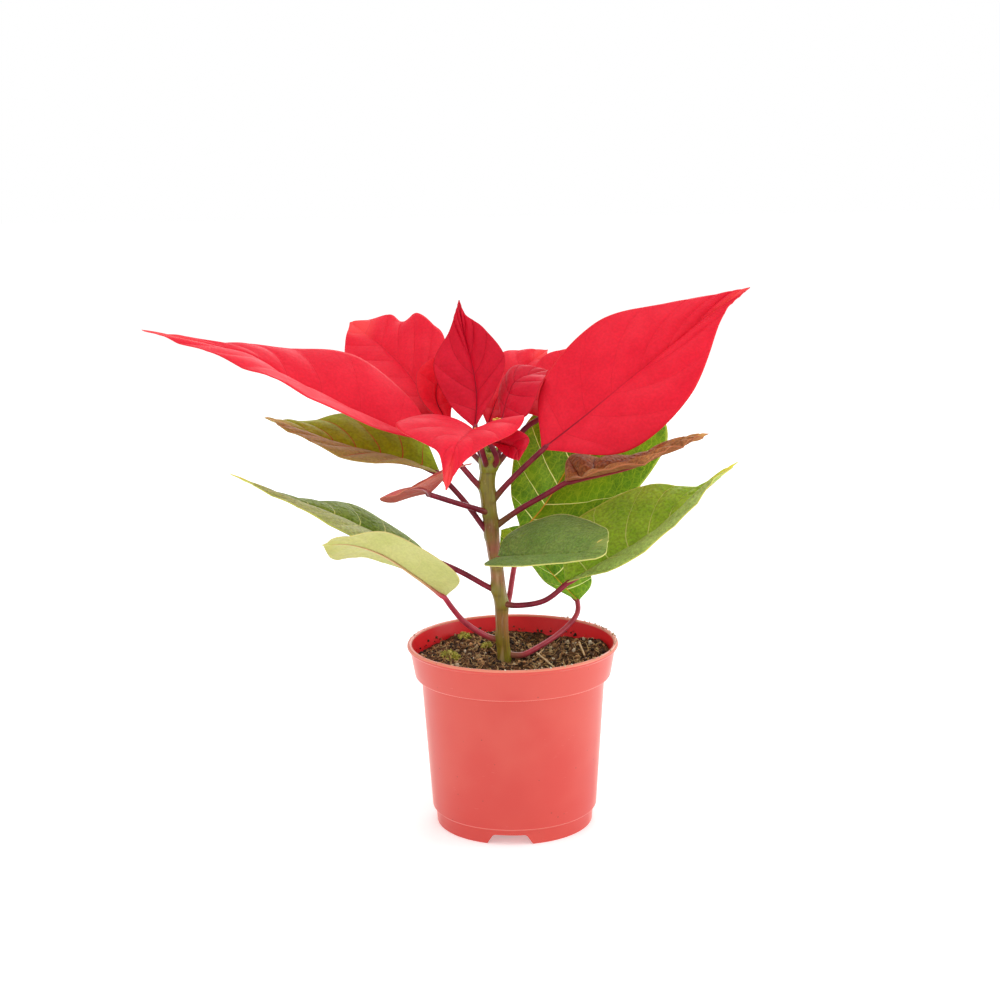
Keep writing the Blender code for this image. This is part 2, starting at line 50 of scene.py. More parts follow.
# %% [markdown]
# ## Camera, floor and light
#
# The photograph is a product shot on a white sweep: a lens of about 68 mm looks slightly down on the plant,
# the floor burns out to white and soft light comes from everywhere. The camera's place could be found by eye;
# here it was fitted to the ellipses of the pot, whose real size is known.
# %% Camera
CAMERA_FROM_AXIS = (0.0, -0.900, 0.34515)
CAMERA_DOWN, CAMERA_TURN, CAMERA_ROLL = (math.radians(a) for a in (11.42, -0.337, 0.792))
LENS_MM, SENSOR_MM = 67.53, 36.0


def link(name, data):
    """A new object with that data, in the scene."""
    made = bpy.data.objects.new(name, data)
    bpy.context.scene.collection.objects.link(made)
    return made


def place_axes(thing, right, up, back, at):
    """Turns an object to the three axes given and puts it there."""
    matrix = Matrix(np.column_stack([right, up, back]).tolist()).to_4x4()
    matrix.translation = at
    thing.matrix_world = matrix


def camera_axes(down, turn, roll):
    """Right, up and forward of a camera that looks along +Y, turned about Z, tipped down and rolled."""
    ahead = np.array([math.sin(turn) * math.cos(down), math.cos(turn) * math.cos(down), -math.sin(down)])
    level = np.array([math.cos(turn), -math.sin(turn), 0.0])
    above = np.cross(level, ahead)
    right = math.cos(roll) * level - math.sin(roll) * above
    up = math.sin(roll) * level + math.cos(roll) * above
    return right, up, ahead


def add_camera():
    data = bpy.data.cameras.new("camera")
    data.lens, data.sensor_width, data.clip_start = LENS_MM, SENSOR_MM, 0.05
    camera = link("camera", data)
    right, up, ahead = camera_axes(CAMERA_DOWN, CAMERA_TURN, CAMERA_ROLL)
    place_axes(camera, right, up, -ahead, POT_AXIS + CAMERA_FROM_AXIS)
    bpy.context.scene.camera = camera


add_camera()

# %% [markdown]
# Node trees are easier to read when one short helper adds a node, sets its choices and plugs in its inputs.
# A socket knows the tree that it lives in, so a sum or a mix of values needs no more than the values. Colours
# are written as the six-digit codes that one reads in a picture, and turned to linear light here.
# %% Helpers for materials


def linear(code):
    """A colour code such as "ff8000" as linear light, with alpha 1."""
    value = np.array([int(code[k:k + 2], 16) for k in (0, 2, 4)]) / 255.0
    low, high = value / 12.92, ((value + 0.055) / 1.055) ** 2.4
    return (*np.where(value <= 0.04045, low, high).tolist(), 1.0)


def plug(made, inputs):
    """Links a socket to, or sets a plain value on, each named or numbered input of a node."""
    for key, value in inputs.items():
        if isinstance(value, bpy.types.NodeSocket):
            made.id_data.links.new(value, made.inputs[key])
        else:
            made.inputs[key].default_value = value


def node(home, kind, inputs=None, **choices):
    """Adds a shader node to a tree, or to the tree of a socket, sets its choices and plugs in its inputs."""
    tree = home.id_data if isinstance(home, bpy.types.NodeSocket) else home
    made = tree.nodes.new("ShaderNode" + kind)
    for choice, value in choices.items():
        setattr(made, choice, value)
    plug(made, inputs or {})
    return made


def maths(operation, *values):
    """One sum of up to three values, of which at least one is a socket."""
    home = next(value for value in values if isinstance(value, bpy.types.NodeSocket))
    return node(home, "Math", dict(enumerate(values)), operation=operation).outputs[0]


def times(a, b):
    return maths("MULTIPLY", a, b)


def plus(a, b):
    return maths("ADD", a, b)


def from_middle(value, middle):
    """How far a value is from the middle."""
    return maths("ABSOLUTE", maths("SUBTRACT", value, middle))


def mix(share, a, b):
    """Colour a where share is 0, colour b where it is 1."""
    return node(share, "Mix", {0: share, 6: a, 7: b}, data_type="RGBA").outputs[2]


def ramp(value, start, end, low=0.0, high=1.0):
    """A soft step of value: low before start, high after end."""
    inputs = {"Value": value, "From Min": start, "From Max": end, "To Min": low, "To Max": high}
    return node(value, "MapRange", inputs, interpolation_type="SMOOTHSTEP").outputs["Result"]


def noise(place, scale, detail=3.0, roughness=0.5):
    inputs = {"Vector": place, "Scale": scale, "Detail": detail, "Roughness": roughness}
    return node(place, "TexNoise", inputs).outputs["Fac"]


def cells(place, scale, **choices):
    """The outputs of a pattern of cells."""
    return node(place, "TexVoronoi", {"Vector": place, "Scale": scale}, **choices).outputs


def stretched(place, scale, turn=(0.0, 0.0, 0.0)):
    """The place with its own scale along each axis, for a pattern that is longer one way than the other."""
    return node(place, "Mapping", {"Vector": place, "Scale": scale, "Rotation": turn}).outputs[0]


def colour_band(value, stops):
    """A colour read by value from stops {place from 0 to 1: colour}."""
    band = node(value, "ValToRGB", {0: value})
    marks, places = band.color_ramp.elements, sorted(stops)
    marks[0].color, marks[1].color = linear(stops[places[0]]), linear(stops[places[-1]])
    for place in places[1:-1]:
        marks.new(place).color = linear(stops[place])
    return band.outputs["Color"]


def object_place(tree):
    return node(tree, "TexCoord").outputs["Object"]


def attribute(tree, name):
    return node(tree, "Attribute", attribute_name=name).outputs["Fac"]


def new_material(name):
    """An empty Principled material, its tree, its shader and the place on the object."""
    material = bpy.data.materials.new(name)
    material.use_nodes = True
    tree = material.node_tree
    return material, tree, tree.nodes["Principled BSDF"], object_place(tree)


def bump(shader, height, strength, distance):
    made = node(height, "Bump", {"Height": height, "Strength": strength, "Distance": distance})
    plug(shader, {"Normal": made.outputs["Normal"]})


# %% [markdown]
# A white world gives the even light of the photograph, a big lamp above gives the leaves their shape, weaker
# ones fill in from the sides, and one behind shines through the thin leaves. The floor is a wide plane of its
# own that glows a little, so that the pot's shadow stays weak. It is in the picture only.
# %% Floor and lights
WHITE, FLOOR_WHITE = (1.0, 1.0, 1.0, 1.0), (0.9, 0.9, 0.9, 1.0)
FLOOR_SIZE, FLOOR_GLOW = 6.0, 0.33
WORLD_SEEN, WORLD_LIGHT = 1.0, 0.8
LAMPS = {
    "top_lamp": dict(place=(0.1, -0.25, 1.5), size=1.3, power=6.5),
    "left_lamp": dict(place=(-1.1, -0.9, 0.8), size=0.8, power=1.6),
    "right_lamp": dict(place=(1.2, -0.1, 0.35), size=0.6, power=3.6),
    "back_lamp": dict(place=(0.3, 1.3, 0.9), size=1.0, power=7.0),
}
AIM = (0.0, 0.0, 0.17)


def add_floor():
    edit = bmesh.new()
    bmesh.ops.create_grid(edit, x_segments=1, y_segments=1, size=FLOOR_SIZE)
    mesh = bpy.data.meshes.new("floor")
    edit.to_mesh(mesh)
    edit.free()
    floor = link("floor", mesh)
    material, _, shader, _ = new_material("floor_white")
    plug(shader, {"Base Color": FLOOR_WHITE, "Roughness": 0.9, "Specular IOR Level": 0.0,
                  "Emission Color": WHITE, "Emission Strength": FLOOR_GLOW})
    mesh.materials.append(material)


def add_lamp(name, place, size, power):
    data = bpy.data.lights.new(name, "AREA")
    data.shape, data.size, data.energy = "DISK", size, power
    away = np.array(place) - AIM
    away = away / np.linalg.norm(away)
    side = np.cross((0.0, 0.0, 1.0), away)
    side = side / np.linalg.norm(side)
    place_axes(link(name, data), side, np.cross(away, side), away, place)


def add_world():
    world = bpy.data.worlds.new("studio")
    world.use_nodes = True
    tree = world.node_tree
    sky = tree.nodes["Background"]
    seen = node(tree, "LightPath").outputs["Is Camera Ray"]
    strength = maths("MULTIPLY_ADD", seen, WORLD_SEEN - WORLD_LIGHT, WORLD_LIGHT)
    plug(sky, {"Color": WHITE, "Strength": strength})
    bpy.context.scene.world = world


add_floor()
add_world()
for lamp_name, lamp in LAMPS.items():
    add_lamp(lamp_name, **lamp)
view = bpy.context.scene.view_settings
view.view_transform, view.look = "Standard", "None"
print("lamps:", ", ".join(LAMPS))

# %% [markdown]
# ## From numpy grids to pieces
#
# Every grown shape here is a function of two parameters: along and across for a leaf, along and around for a
# stalk. One helper turns such a grid of points into a mesh, with a UV map and any values per point that a
# material wants, and another sets it on the CAD body that it stands for.
# %% Helpers for meshes


def unit(vectors):
    return vectors / (np.linalg.norm(vectors, axis=-1, keepdims=True) + 1e-12)


def spline(points, place):
    """Catmull-Rom curve through the points, read at each place from 0 (first point) to 1 (last point)."""
    points = np.asarray(points, float)
    last = len(points) - 1
    place = np.asarray(place) * last
    piece = np.clip(place.astype(int), 0, last - 1)
    f = (place - piece)[..., None]
    padded = np.vstack([2 * points[0] - points[1], points, 2 * points[-1] - points[-2]])
    a, b, c, d = (padded[piece + k] for k in range(4))
    return 0.5 * (2 * b + (c - a) * f + (2 * a - 5 * b + 4 * c - d) * f**2 + (3 * b - a - 3 * c + d) * f**3)


def grid_faces(rows, columns, around=False):
    """Quads between neighbouring points of a grid; around joins the last column to the first."""
    index = np.arange(rows * columns).reshape(rows, columns)
    if around:
        index = np.hstack([index, index[:, :1]])
    return np.stack([index[:-1, :-1], index[:-1, 1:], index[1:, 1:], index[1:, :-1]], -1).reshape(-1, 4)


def new_mesh(name, points, faces, values=None, uv=None):
    """A smooth mesh from points in millimetres about the pot's axis, with float values per point by name."""
    mesh = bpy.data.meshes.new(name)
    mesh.from_pydata((np.asarray(points) * MM + POT_AXIS).tolist(), [], faces.tolist())
    mesh.polygons.foreach_set("use_smooth", np.ones(len(mesh.polygons), bool))
    for label, value in (values or {}).items():
        layer = mesh.attributes.new(label, "FLOAT", "POINT")
        layer.data.foreach_set("value", np.asarray(value, np.float32).ravel())
    if uv is not None:
        corner = np.empty(len(mesh.loops), np.int32)
        mesh.loops.foreach_get("vertex_index", corner)
        layer = mesh.uv_layers.new(name="UVMap")
        layer.data.foreach_set("uv", np.asarray(uv, np.float32).reshape(-1, 2)[corner].ravel())
    return mesh


def weld(mesh, distance=0.00001):
    """Points that meet become one, so that the surface is closed and has no stray faces."""
    edit = bmesh.new()
    edit.from_mesh(mesh)
    bmesh.ops.remove_doubles(edit, verts=edit.verts, dist=distance)
    bmesh.ops.dissolve_degenerate(edit, edges=edit.edges, dist=distance / 10)
    edit.to_mesh(mesh)
    edit.free()


def new_piece(name, mesh, materials, replaces=None):
    """Puts the mesh in the scene, on the CAD's one body, and hides the CAD part that it replaces."""
    piece = link(name, mesh)
    for material in materials:
        mesh.materials.append(material)
    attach(piece, "root")
    if replaces:
        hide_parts(replaces)
    print(name, len(mesh.polygons), "faces")
    return piece


def tube(path, radius, sides, squash=1.0):
    """Points rows x sides of a tube: at each path point a ring of that radius, square to the path. The ring's
    first direction is carried along the path, so that the tube doesn't twist."""
    path = np.asarray(path, float)
    ahead = unit(np.gradient(path, axis=0))
    side = np.cross(ahead[0], (0.3, 0.2, 0.9))
    sides_at = []
    for direction in ahead:
        side = unit(side - direction * np.dot(side, direction))
        sides_at.append(side)
    side = np.array(sides_at)[:, None]
    other = np.cross(ahead[:, None], side)
    turn = np.linspace(0, 2 * np.pi, sides, endpoint=False)[None, :, None]
    ring = np.cos(turn) * side + squash * np.sin(turn) * other
    return path[:, None] + ring * np.asarray(radius, float).reshape(len(path), -1)[..., None]


def circle(steps):
    """Angles round a full turn, and the unit vectors of those angles in the XY plane."""
    turn = np.linspace(0, 2 * np.pi, steps, endpoint=False)
    return turn, np.stack([np.cos(turn), np.sin(turn), 0 * turn], -1)


def skin(rings):
    """The points and faces of a stack of rings."""
    return rings.reshape(-1, 3), grid_faces(*rings.shape[:2], around=True)


def closed_rings(rings):
    """Adds a ring shrunk to its middle at both ends, to close a tube once its points are welded."""
    ends = [np.broadcast_to(ring.mean(0), ring.shape) for ring in (rings[0], rings[-1])]
    return np.concatenate([ends[:1], rings, ends[1:]])


# %% [markdown]
# ## The leaves' veins
#
# A poinsettia leaf has a strong midrib, about eight side veins on each half that curve forward, and between
# them a net of fine veins that light shines through. The surface grid of each leaf follows the side veins, so
# its UV map counts them from base to tip. This group turns that map into masks: rib, side veins and net, and
# one height for the bump. The distances are in millimetres, carried as values of the mesh.
# %% Vein group
VEIN_INPUTS = {"Rib width": 0.7, "Side width": 0.42, "Net scale": 270.0}
VEIN_OUTPUTS = ("Rib", "Side", "Net", "Height", "Along", "Patch", "Edge", "Across")
RUNG_PITCH, RUNG_SHIFT = 4.6, 0.37
SMALL_CELLS = 2.6


def new_group(name, inputs, outputs):
    """A shader node group with float inputs {name: default} and float outputs."""
    tree = bpy.data.node_groups.new(name, "ShaderNodeTree")
    for label, value in inputs.items():
        socket = tree.interface.new_socket(label, in_out="INPUT", socket_type="NodeSocketFloat")
        socket.default_value = value
    for label in outputs:
        tree.interface.new_socket(label, in_out="OUTPUT", socket_type="NodeSocketFloat")
    return tree, tree.nodes.new("NodeGroupInput").outputs, tree.nodes.new("NodeGroupOutput")


def use_group(tree, group, inputs):
    """Places a group in a material and returns its outputs."""
    made = tree.nodes.new("ShaderNodeGroup")
    made.node_tree = group
    plug(made, inputs)
    return made.outputs


def vein_group():
    """Masks of a leaf. A side vein lies where UV's u, swayed a little, is half way between two whole numbers.
    A rung of the ladder veins crosses every RUNG_PITCH millimetres out from the rib. Two sizes of cells fill
    in."""
    tree, given, result = new_group("leaf veins", VEIN_INPUTS, VEIN_OUTPUTS)
    place = object_place(tree)
    uv = node(tree, "SeparateXYZ", {0: node(tree, "UVMap", uv_map="UVMap").outputs[0]}).outputs
    along, from_rib, pitch = (attribute(tree, name) for name in ("along", "from_rib", "pitch"))
    inner = ramp(along, 0.8, 0.95, 1.0, 0.0)
    reach = maths("ABSOLUTE", maths("MULTIPLY_ADD", uv[1], 2.0, -1.0))

    swayed = plus(uv[0], maths("MULTIPLY_ADD", noise(place, 60.0), 0.22, 0.39))
    to_vein = times(from_middle(maths("FRACT", swayed), 0.5), pitch)
    side_width = times(given["Side width"], ramp(reach, 0.1, 1.0, 1.0, 0.45))
    side = times(ramp(maths("DIVIDE", to_vein, side_width), 0.5, 1.0, 1.0, 0.0), inner)

    rib_width = times(given["Rib width"], ramp(along, -0.4, 1.1, 1.0, 0.2))
    rib = ramp(maths("DIVIDE", from_rib, rib_width), 0.5, 1.0, 1.0, 0.0)
    rib = times(rib, ramp(along, 0.7, 0.9, 1.0, 0.0))

    rung = maths("MULTIPLY_ADD", from_rib, 1 / RUNG_PITCH, times(maths("FLOOR", swayed), RUNG_SHIFT))
    rung = maths("MULTIPLY_ADD", noise(place, 130.0), 1.6, rung)
    rung = times(from_middle(maths("FRACT", rung), 0.5), RUNG_PITCH)

    spread = node(tree, "TexNoise", {"Vector": place, "Scale": 150.0}).outputs["Color"]
    spread = node(tree, "VectorMath", {0: spread, 1: (0.003, 0.003, 0.003)}, operation="MULTIPLY").outputs[0]
    bent = node(tree, "VectorMath", {0: place, 1: spread}, operation="ADD").outputs[0]
    large = cells(bent, given["Net scale"], feature="DISTANCE_TO_EDGE")["Distance"]
    small = cells(bent, times(given["Net scale"], SMALL_CELLS), feature="DISTANCE_TO_EDGE")["Distance"]
    net = maths("MAXIMUM", ramp(rung, 0.1, 0.3, 0.8, 0.0), ramp(large, 0.02, 0.08, 0.5, 0.0))
    net = times(maths("MAXIMUM", net, ramp(small, 0.02, 0.12, 0.3, 0.0)), inner)

    height = maths("SUBTRACT", times(ramp(large, 0.0, 0.45), inner), maths("MAXIMUM", rib, side))
    values = (rib, side, net, height, along, noise(place, 45.0, 4.0, 0.6), ramp(reach, 0.965, 0.995), uv[1])
    plug(result, dict(zip(VEIN_OUTPUTS, values)))
    return tree


VEINS = vein_group()

# %% [markdown]
# ## Leaf materials
#
# Each kind of leaf has a face colour, a second colour in soft patches, and its own colours for rib, side
# veins, net, tip and edge. Thin leaves let light through, which the Principled shader's subsurface part does
# for a closed thin sheet. The underside is duller and paler than the top, so each kind comes as a pair of
# materials, and five leaves have marks of their own, such as a brown spot or a paler half.
# %% Colours of each kind of leaf
LOOK_WORDS = ("face", "patch", "rib", "side", "net", "tip", "edge")


def look(colours, side_show, net_show, dent, **more):
    """One kind's look: its colours in the order of LOOK_WORDS, how strongly its side veins and its net show,
    and the depth of its bump."""
    named = dict(zip(LOOK_WORDS, colours.split()))
    return dict(named, side_show=side_show, net_show=net_show, dent=dent, **more)


LEAF_KINDS = {
    "bract": look("de1630 d60c2a 960822 c40a24 cc0c26 ec4246 e22230", 0.3, 0.05, 0.3, rib_end=0.45),
    "bract_under": look("de2836 d21e30 b42236 e44650 dc3c48 e2464c e23c42", 0.4, 0.15, 0.4),
    # The next two kinds are darker copies of the bract colours: painted shade for bracts that lie in shade.
    "bract_deep": look("ce0c2c c40628 960420 a60420 b00622 c4182c be1428", 0.5, 0.1, 0.5, rib_end=0.8),
    "bract_deep_under": look("bc0a24 ac0620 960822 be2434 b4182c b41a2c b41e2e", 0.3, 0.1, 0.4),
    "leaf_green": look("9ebe32 7ca818 bec46e d6de82 b0c85a e4e654 ced060", 0.9, 0.5, 1.5, mottle=0.22),
    "leaf_green_under": look("acbe70 9cb45e b08254 c8d082 bcc876 ced260 c8c864", 0.6, 0.4, 0.5),
    "leaf_backlit": look("689600 4a7a00 e2a034 f0f4a0 b0cc2c 96ac1e aab83c", 1.0, 0.6, 0.4),
    "leaf_backlit_under": look("86a632 769a24 c89646 ced86e b4c856 aaba3c b4be50", 0.9, 0.5, 0.4),
    "leaf_matte": look("7e9648 6c8a3a b8644c 92a658 587630 8c9e50 cecc76",
                       0.3, 0.6, 2.4, net_scale=380.0, mottle=0.2),
    "leaf_matte_under": look("b0c276 a0b864 b49664 bece80 b6c87a b4be6e cecc76", 0.4, 0.3, 0.5),
    "leaf_pale": look("78964a 688a3e a0a05a 96aa60 8ca45a aab464 bebe78", 0.6, 0.4, 0.5),
    "leaf_pale_under": look("c4c47e babe72 d4ac7c cec886 ccc880 c0c070 d2c882", 0.3, 0.12, 0.3),
    "leaf_veined": look("9cb216 88a00e ac6038 bc642e b4be3c c8c674 b0964c", 1.0, 0.4, 0.8, mottle=0.16),
    "leaf_veined_under": look("a89668 968658 96543e 88603e a08a60 c4c274 ac9254", 0.8, 0.5, 0.6),
    "leaf_brown": look("ae7442 965e34 a03c38 6e3c24 784428 c48e50 be784c", 0.9, 0.4, 2.0, mottle=0.3),
    "leaf_brown_under": look("ae7248 9a5e3a a0323a 824832 8c543c be8654 ac6442", 0.5, 0.3, 1.0),
    "leaf_bronze": look("ce6860 bc5452 be5050 a04842 aa544c aa5442 c86e5a", 0.3, 0.2, 0.5),
    "leaf_bronze_under": look("c86e60 ba5c54 aa3842 b05c54 b46258 b05c4a c86e5a", 0.3, 0.2, 0.5),
}
LEAF_GLOW, GLOW_TINT, GLOW_DEPTH = 0.3, (1.0, 0.9, 0.5), 0.0012
BUMP_DEPTH = 0.0003


def spot_mask(veins, place, spot):
    """A ragged spot on a leaf: its place along and across, and its size along and across."""
    along, across, length, width = spot
    u = times(maths("SUBTRACT", veins["Along"], along), 1 / length)
    v = times(maths("SUBTRACT", veins["Across"], across), 1 / width)
    far = maths("SQRT", maths("MULTIPLY_ADD", u, u, times(v, v)))
    return ramp(plus(far, maths("MULTIPLY_ADD", noise(place, 500.0), 1.2, -0.6)), 0.6, 1.0, 1.0, 0.0)


def leaf_material(name, face, patch, rib, side, net, side_show, net_show, tip, edge, dent, rib_end=2.0,
                  net_scale=270.0, mottle=0.06, half=None, spot=None, spot_colour=None):
    """Face and patch colours by noise, then one half's own colour where it has one, painted light and shade
    of small bumps, the tip, the net, the side veins, the edge, a spot where it has one, and the rib on top."""
    material, tree, shader, place = new_material(name)
    veins = use_group(tree, VEINS, {"Net scale": net_scale})
    colour = mix(ramp(veins["Patch"], 0.38, 0.66), linear(face), linear(patch))
    if half:
        side_of, half_colour = half
        other = ramp(veins["Across"], 0.48, 0.52, 1 - side_of, side_of)
        colour = mix(times(other, 0.85), colour, linear(half_colour))
    # Painted light and shade: the colour is made lighter and darker in small spots, for the highlights and
    # shade of the puckered surface.
    painted_bump_shading = ramp(noise(place, 800.0, 2.0), 0.3, 0.7, 1 - mottle, 1 + mottle)
    colour = node(tree, "VectorMath", {0: colour, "Scale": painted_bump_shading}, operation="SCALE").outputs[0]
    colour = mix(ramp(veins["Along"], 0.76, 0.9), colour, linear(tip))
    colour = mix(times(veins["Net"], net_show), colour, linear(net))
    colour = mix(times(veins["Side"], side_show), colour, linear(side))
    colour = mix(veins["Edge"], colour, linear(edge))
    if spot:
        colour = mix(spot_mask(veins, place, spot), colour, linear(spot_colour))
    rib_shown = times(veins["Rib"], ramp(veins["Along"], rib_end / 3, rib_end, 1.0, 0.2))
    plug(shader, {
        "Base Color": mix(rib_shown, colour, linear(rib)),
        "Roughness": ramp(veins["Patch"], 0.2, 0.8, 0.5, 0.66), "Specular IOR Level": 0.2,
        "Subsurface Weight": LEAF_GLOW, "Subsurface Radius": GLOW_TINT, "Subsurface Scale": GLOW_DEPTH})
    bump(shader, veins["Height"], 0.7, BUMP_DEPTH * dent)
    return material


# a kind, and the marks that only this leaf has
LEAF_MARKS = {
    "leaf_low_right": ("leaf_green", dict(half=(1, "acc270"), spot=(0.84, 0.97, 0.04, 0.2),
                                          spot_colour="be763a")),
    "leaf_mid_left": ("leaf_green", dict(face="78902e", patch="5e7c20", half=(0, "aab06c"))),
    "leaf_upper_left": ("leaf_veined", dict(half=(0, "a48e54"))),
    "leaf_front": ("leaf_matte", dict(spot=(0.86, 0.3, 0.03, 0.07), spot_colour="d6c468")),
    # Painted shade: this bract is a deep, dark red where it lies in the shadow of the bracts round it.
    "bract_behind": ("bract_deep", dict(face="de0220", patch="d4001e", side_show=0.12)),
}
LEAF_MATERIALS = {name: leaf_material(name, **look) for name, look in LEAF_KINDS.items()}
for marked, (kind, marks) in LEAF_MARKS.items():
    LEAF_MATERIALS[marked] = leaf_material(marked, **{**LEAF_KINDS[kind], **marks})
print("leaf materials:", len(LEAF_MATERIALS))

# %% [markdown]
# ## Leaf blades
#
# A blade is a thin sheet between two margins with a midrib that bends in space. It could be sculpted, or cut
# from a flat outline and bent. Here it is computed: the midrib and both margins are smooth curves through a
# few points, written in millimetres about the pot's axis as in the CAD, and the sheet spans them.
# %% Where each leaf lies
# Leaf blades: midrib from base to tip, then the margins seen with the upper face up, all in millimetres
BLADES = {
    "bract_left": dict(
        mid=[(-38, -6, 194), (-60, -13, 204), (-84, -19, 216), (-105, -23, 228), (-121, -24, 239),
             (-145, -22, 245), (-173, -18, 251)],
        left=[(-62, -36, 205), (-87, -52, 221), (-106, -54, 231), (-123, -46, 237), (-149, -32, 245)],
        right=[(-48, 6, 213), (-73, 8, 233), (-101, 2, 239), (-125, -8, 242), (-148, -16, 246)]),
    "bract_back_left": dict(
        mid=[(-31, 15, 196), (-41, 30, 208), (-53, 48, 222), (-68, 66, 234), (-83, 80, 243)],
        left=[(-53, 16, 204), (-71, 34, 215), (-84, 58, 228)],
        right=[(-29, 32, 214), (-33, 54, 237), (-39, 64, 243), (-48, 72, 248), (-56, 77, 244),
               (-64, 81, 246)]),
    "bract_behind": dict(
        mid=[(-29, 8, 198), (-36, 17, 211), (-34, 25, 223), (-30, 32, 234)],
        left=[(-43, 11, 211), (-45, 21, 225)],
        right=[(-28, 16, 209), (-20, 25, 224)]),
    "bract_upright": dict(
        mid=[(-17, 0, 199), (-16, 8, 213), (-18, 13, 228), (-22, 16, 244), (-24, 15, 260)],
        left=[(-30, 6, 211), (-37, 10, 229), (-29, 15, 245), (-26, 15, 254)],
        right=[(-7, 6, 216), (-2, 10, 232), (-12, 15, 246), (-21, 15, 253)]),
    "bract_front": dict(
        mid=[(-15, -15, 197), (-17, -30, 203), (-20, -46, 204), (-25, -62, 200), (-29, -74, 183)],
        left=[(6, -24, 208), (1, -40, 203), (-20, -64, 195)],
        right=[(-35, -22, 210), (-53, -42, 207), (-34, -64, 200)]),
    "bract_front_right": dict(
        mid=[(-11, -13, 195), (-3, -22, 195), (3, -29, 194), (4, -34, 189)],
        left=[(-1, -20, 202), (9, -26, 198)],
        right=[(-6, -22, 193), (-1, -31, 190)]),
    "bract_right": dict(
        mid=[(15, -12, 190), (37, -6, 206), (63, 1, 226), (90, 9, 245), (118, 18, 264)],
        left=[(16, 6, 219), (43, 16, 248), (79, 20, 257), (104, 19, 261)],
        right=[(55, -20, 190), (86, -12, 215), (102, 4, 248), (110, 13, 258)]),
    "bract_back_right": dict(
        mid=[(-11, 13, 198), (-5, 32, 211), (6, 50, 221), (20, 66, 229)],
        left=[(-15, 29, 210), (-4, 58, 228)],
        right=[(4, 24, 205), (16, 42, 215)]),
    "bract_inner_right": dict(
        mid=[(-4, 3, 202), (-1, 9, 213), (4, 13, 221), (19, 16, 225)],
        left=[(-5, 16, 214), (2, 24, 226)],
        right=[(8, -6, 206), (15, 0, 219)]),
    "bract_behind_right": dict(
        mid=[(15, 12, 202), (20, 28, 211), (26, 44, 221), (33, 58, 231)],
        left=[(4, 18, 208), (16, 44, 227)],
        right=[(28, 22, 209), (38, 40, 224)]),
    "leaf_upper_left": dict(
        mid=[(-34, -5, 178), (-52, -8, 186), (-74, -10, 192), (-96, -10, 199), (-118, -8, 207)],
        left=[(-51, -26, 186), (-78, -32, 191), (-103, -24, 202)],
        right=[(-47, 10, 198), (-78, 12, 205), (-102, 4, 203)]),
    "leaf_mid_left": dict(
        mid=[(-40, -8, 137), (-62, -14, 149), (-84, -19, 161), (-109, -23, 172), (-133, -26, 183)],
        left=[(-57, -30, 144), (-83, -38, 159), (-110, -35, 173)],
        right=[(-53, 2, 147), (-79, 0, 162), (-108, -12, 168)]),
    "leaf_low_left": dict(
        mid=[(-32, -20, 120), (-46, -28, 133), (-61, -34, 145), (-76, -38, 151), (-89, -40, 151)],
        left=[(-26, -38, 135), (-57, -48, 158), (-78, -46, 156)],
        right=[(-49, -14, 131), (-69, -20, 140), (-84, -26, 140)]),
    "leaf_back_right": dict(
        mid=[(5, 15, 144), (17, 27, 155), (31, 41, 174), (48, 55, 196), (68, 68, 216)],
        left=[(0, 22, 167), (8, 42, 194), (35, 60, 212)],
        right=[(46, 24, 147), (79, 42, 181), (75, 60, 203)]),
    "leaf_brown_right": dict(
        mid=[(26, -10, 174), (42, -14, 178), (59, -18, 183), (76, -21, 191), (94, -24, 199)],
        left=[(31, 6, 184), (60, 4, 183), (80, -12, 194)],
        right=[(37, -34, 182), (60, -40, 188), (79, -34, 195)]),
    "leaf_low_right": dict(
        mid=[(26, -8, 123), (47, -8, 135), (67, -6, 146), (87, -4, 162), (111, 0, 181)],
        left=[(28, 14, 145), (63, 20, 165), (91, 10, 167)],
        right=[(51, -28, 136), (76, -28, 153), (95, -14, 171)]),
    "leaf_front": dict(
        mid=[(-7, -15, 138), (5, -25, 141), (19, -36, 144), (32, -46, 147), (45, -52, 154)],
        left=[(-1, -4, 147), (24, -6, 157), (44, -32, 156)],
        right=[(-12, -36, 139), (15, -56, 144), (40, -62, 148)]),
    "leaf_low_back": dict(
        mid=[(34, 30, 104), (25, 29, 114), (15, 28, 125), (5, 27, 134), (-5, 25, 143)],
        left=[(17, 22, 116), (7, 18, 129), (-5, 20, 134)],
        right=[(41, 38, 114), (30, 40, 136), (7, 34, 143)]),
    "leaf_small_left": dict(
        mid=[(-39, -20, 171), (-41, -32, 176), (-44, -44, 179), (-47, -54, 180)],
        left=[(-28, -28, 182), (-19, -38, 189)],
        right=[(-54, -26, 169), (-61, -40, 172)]),
}
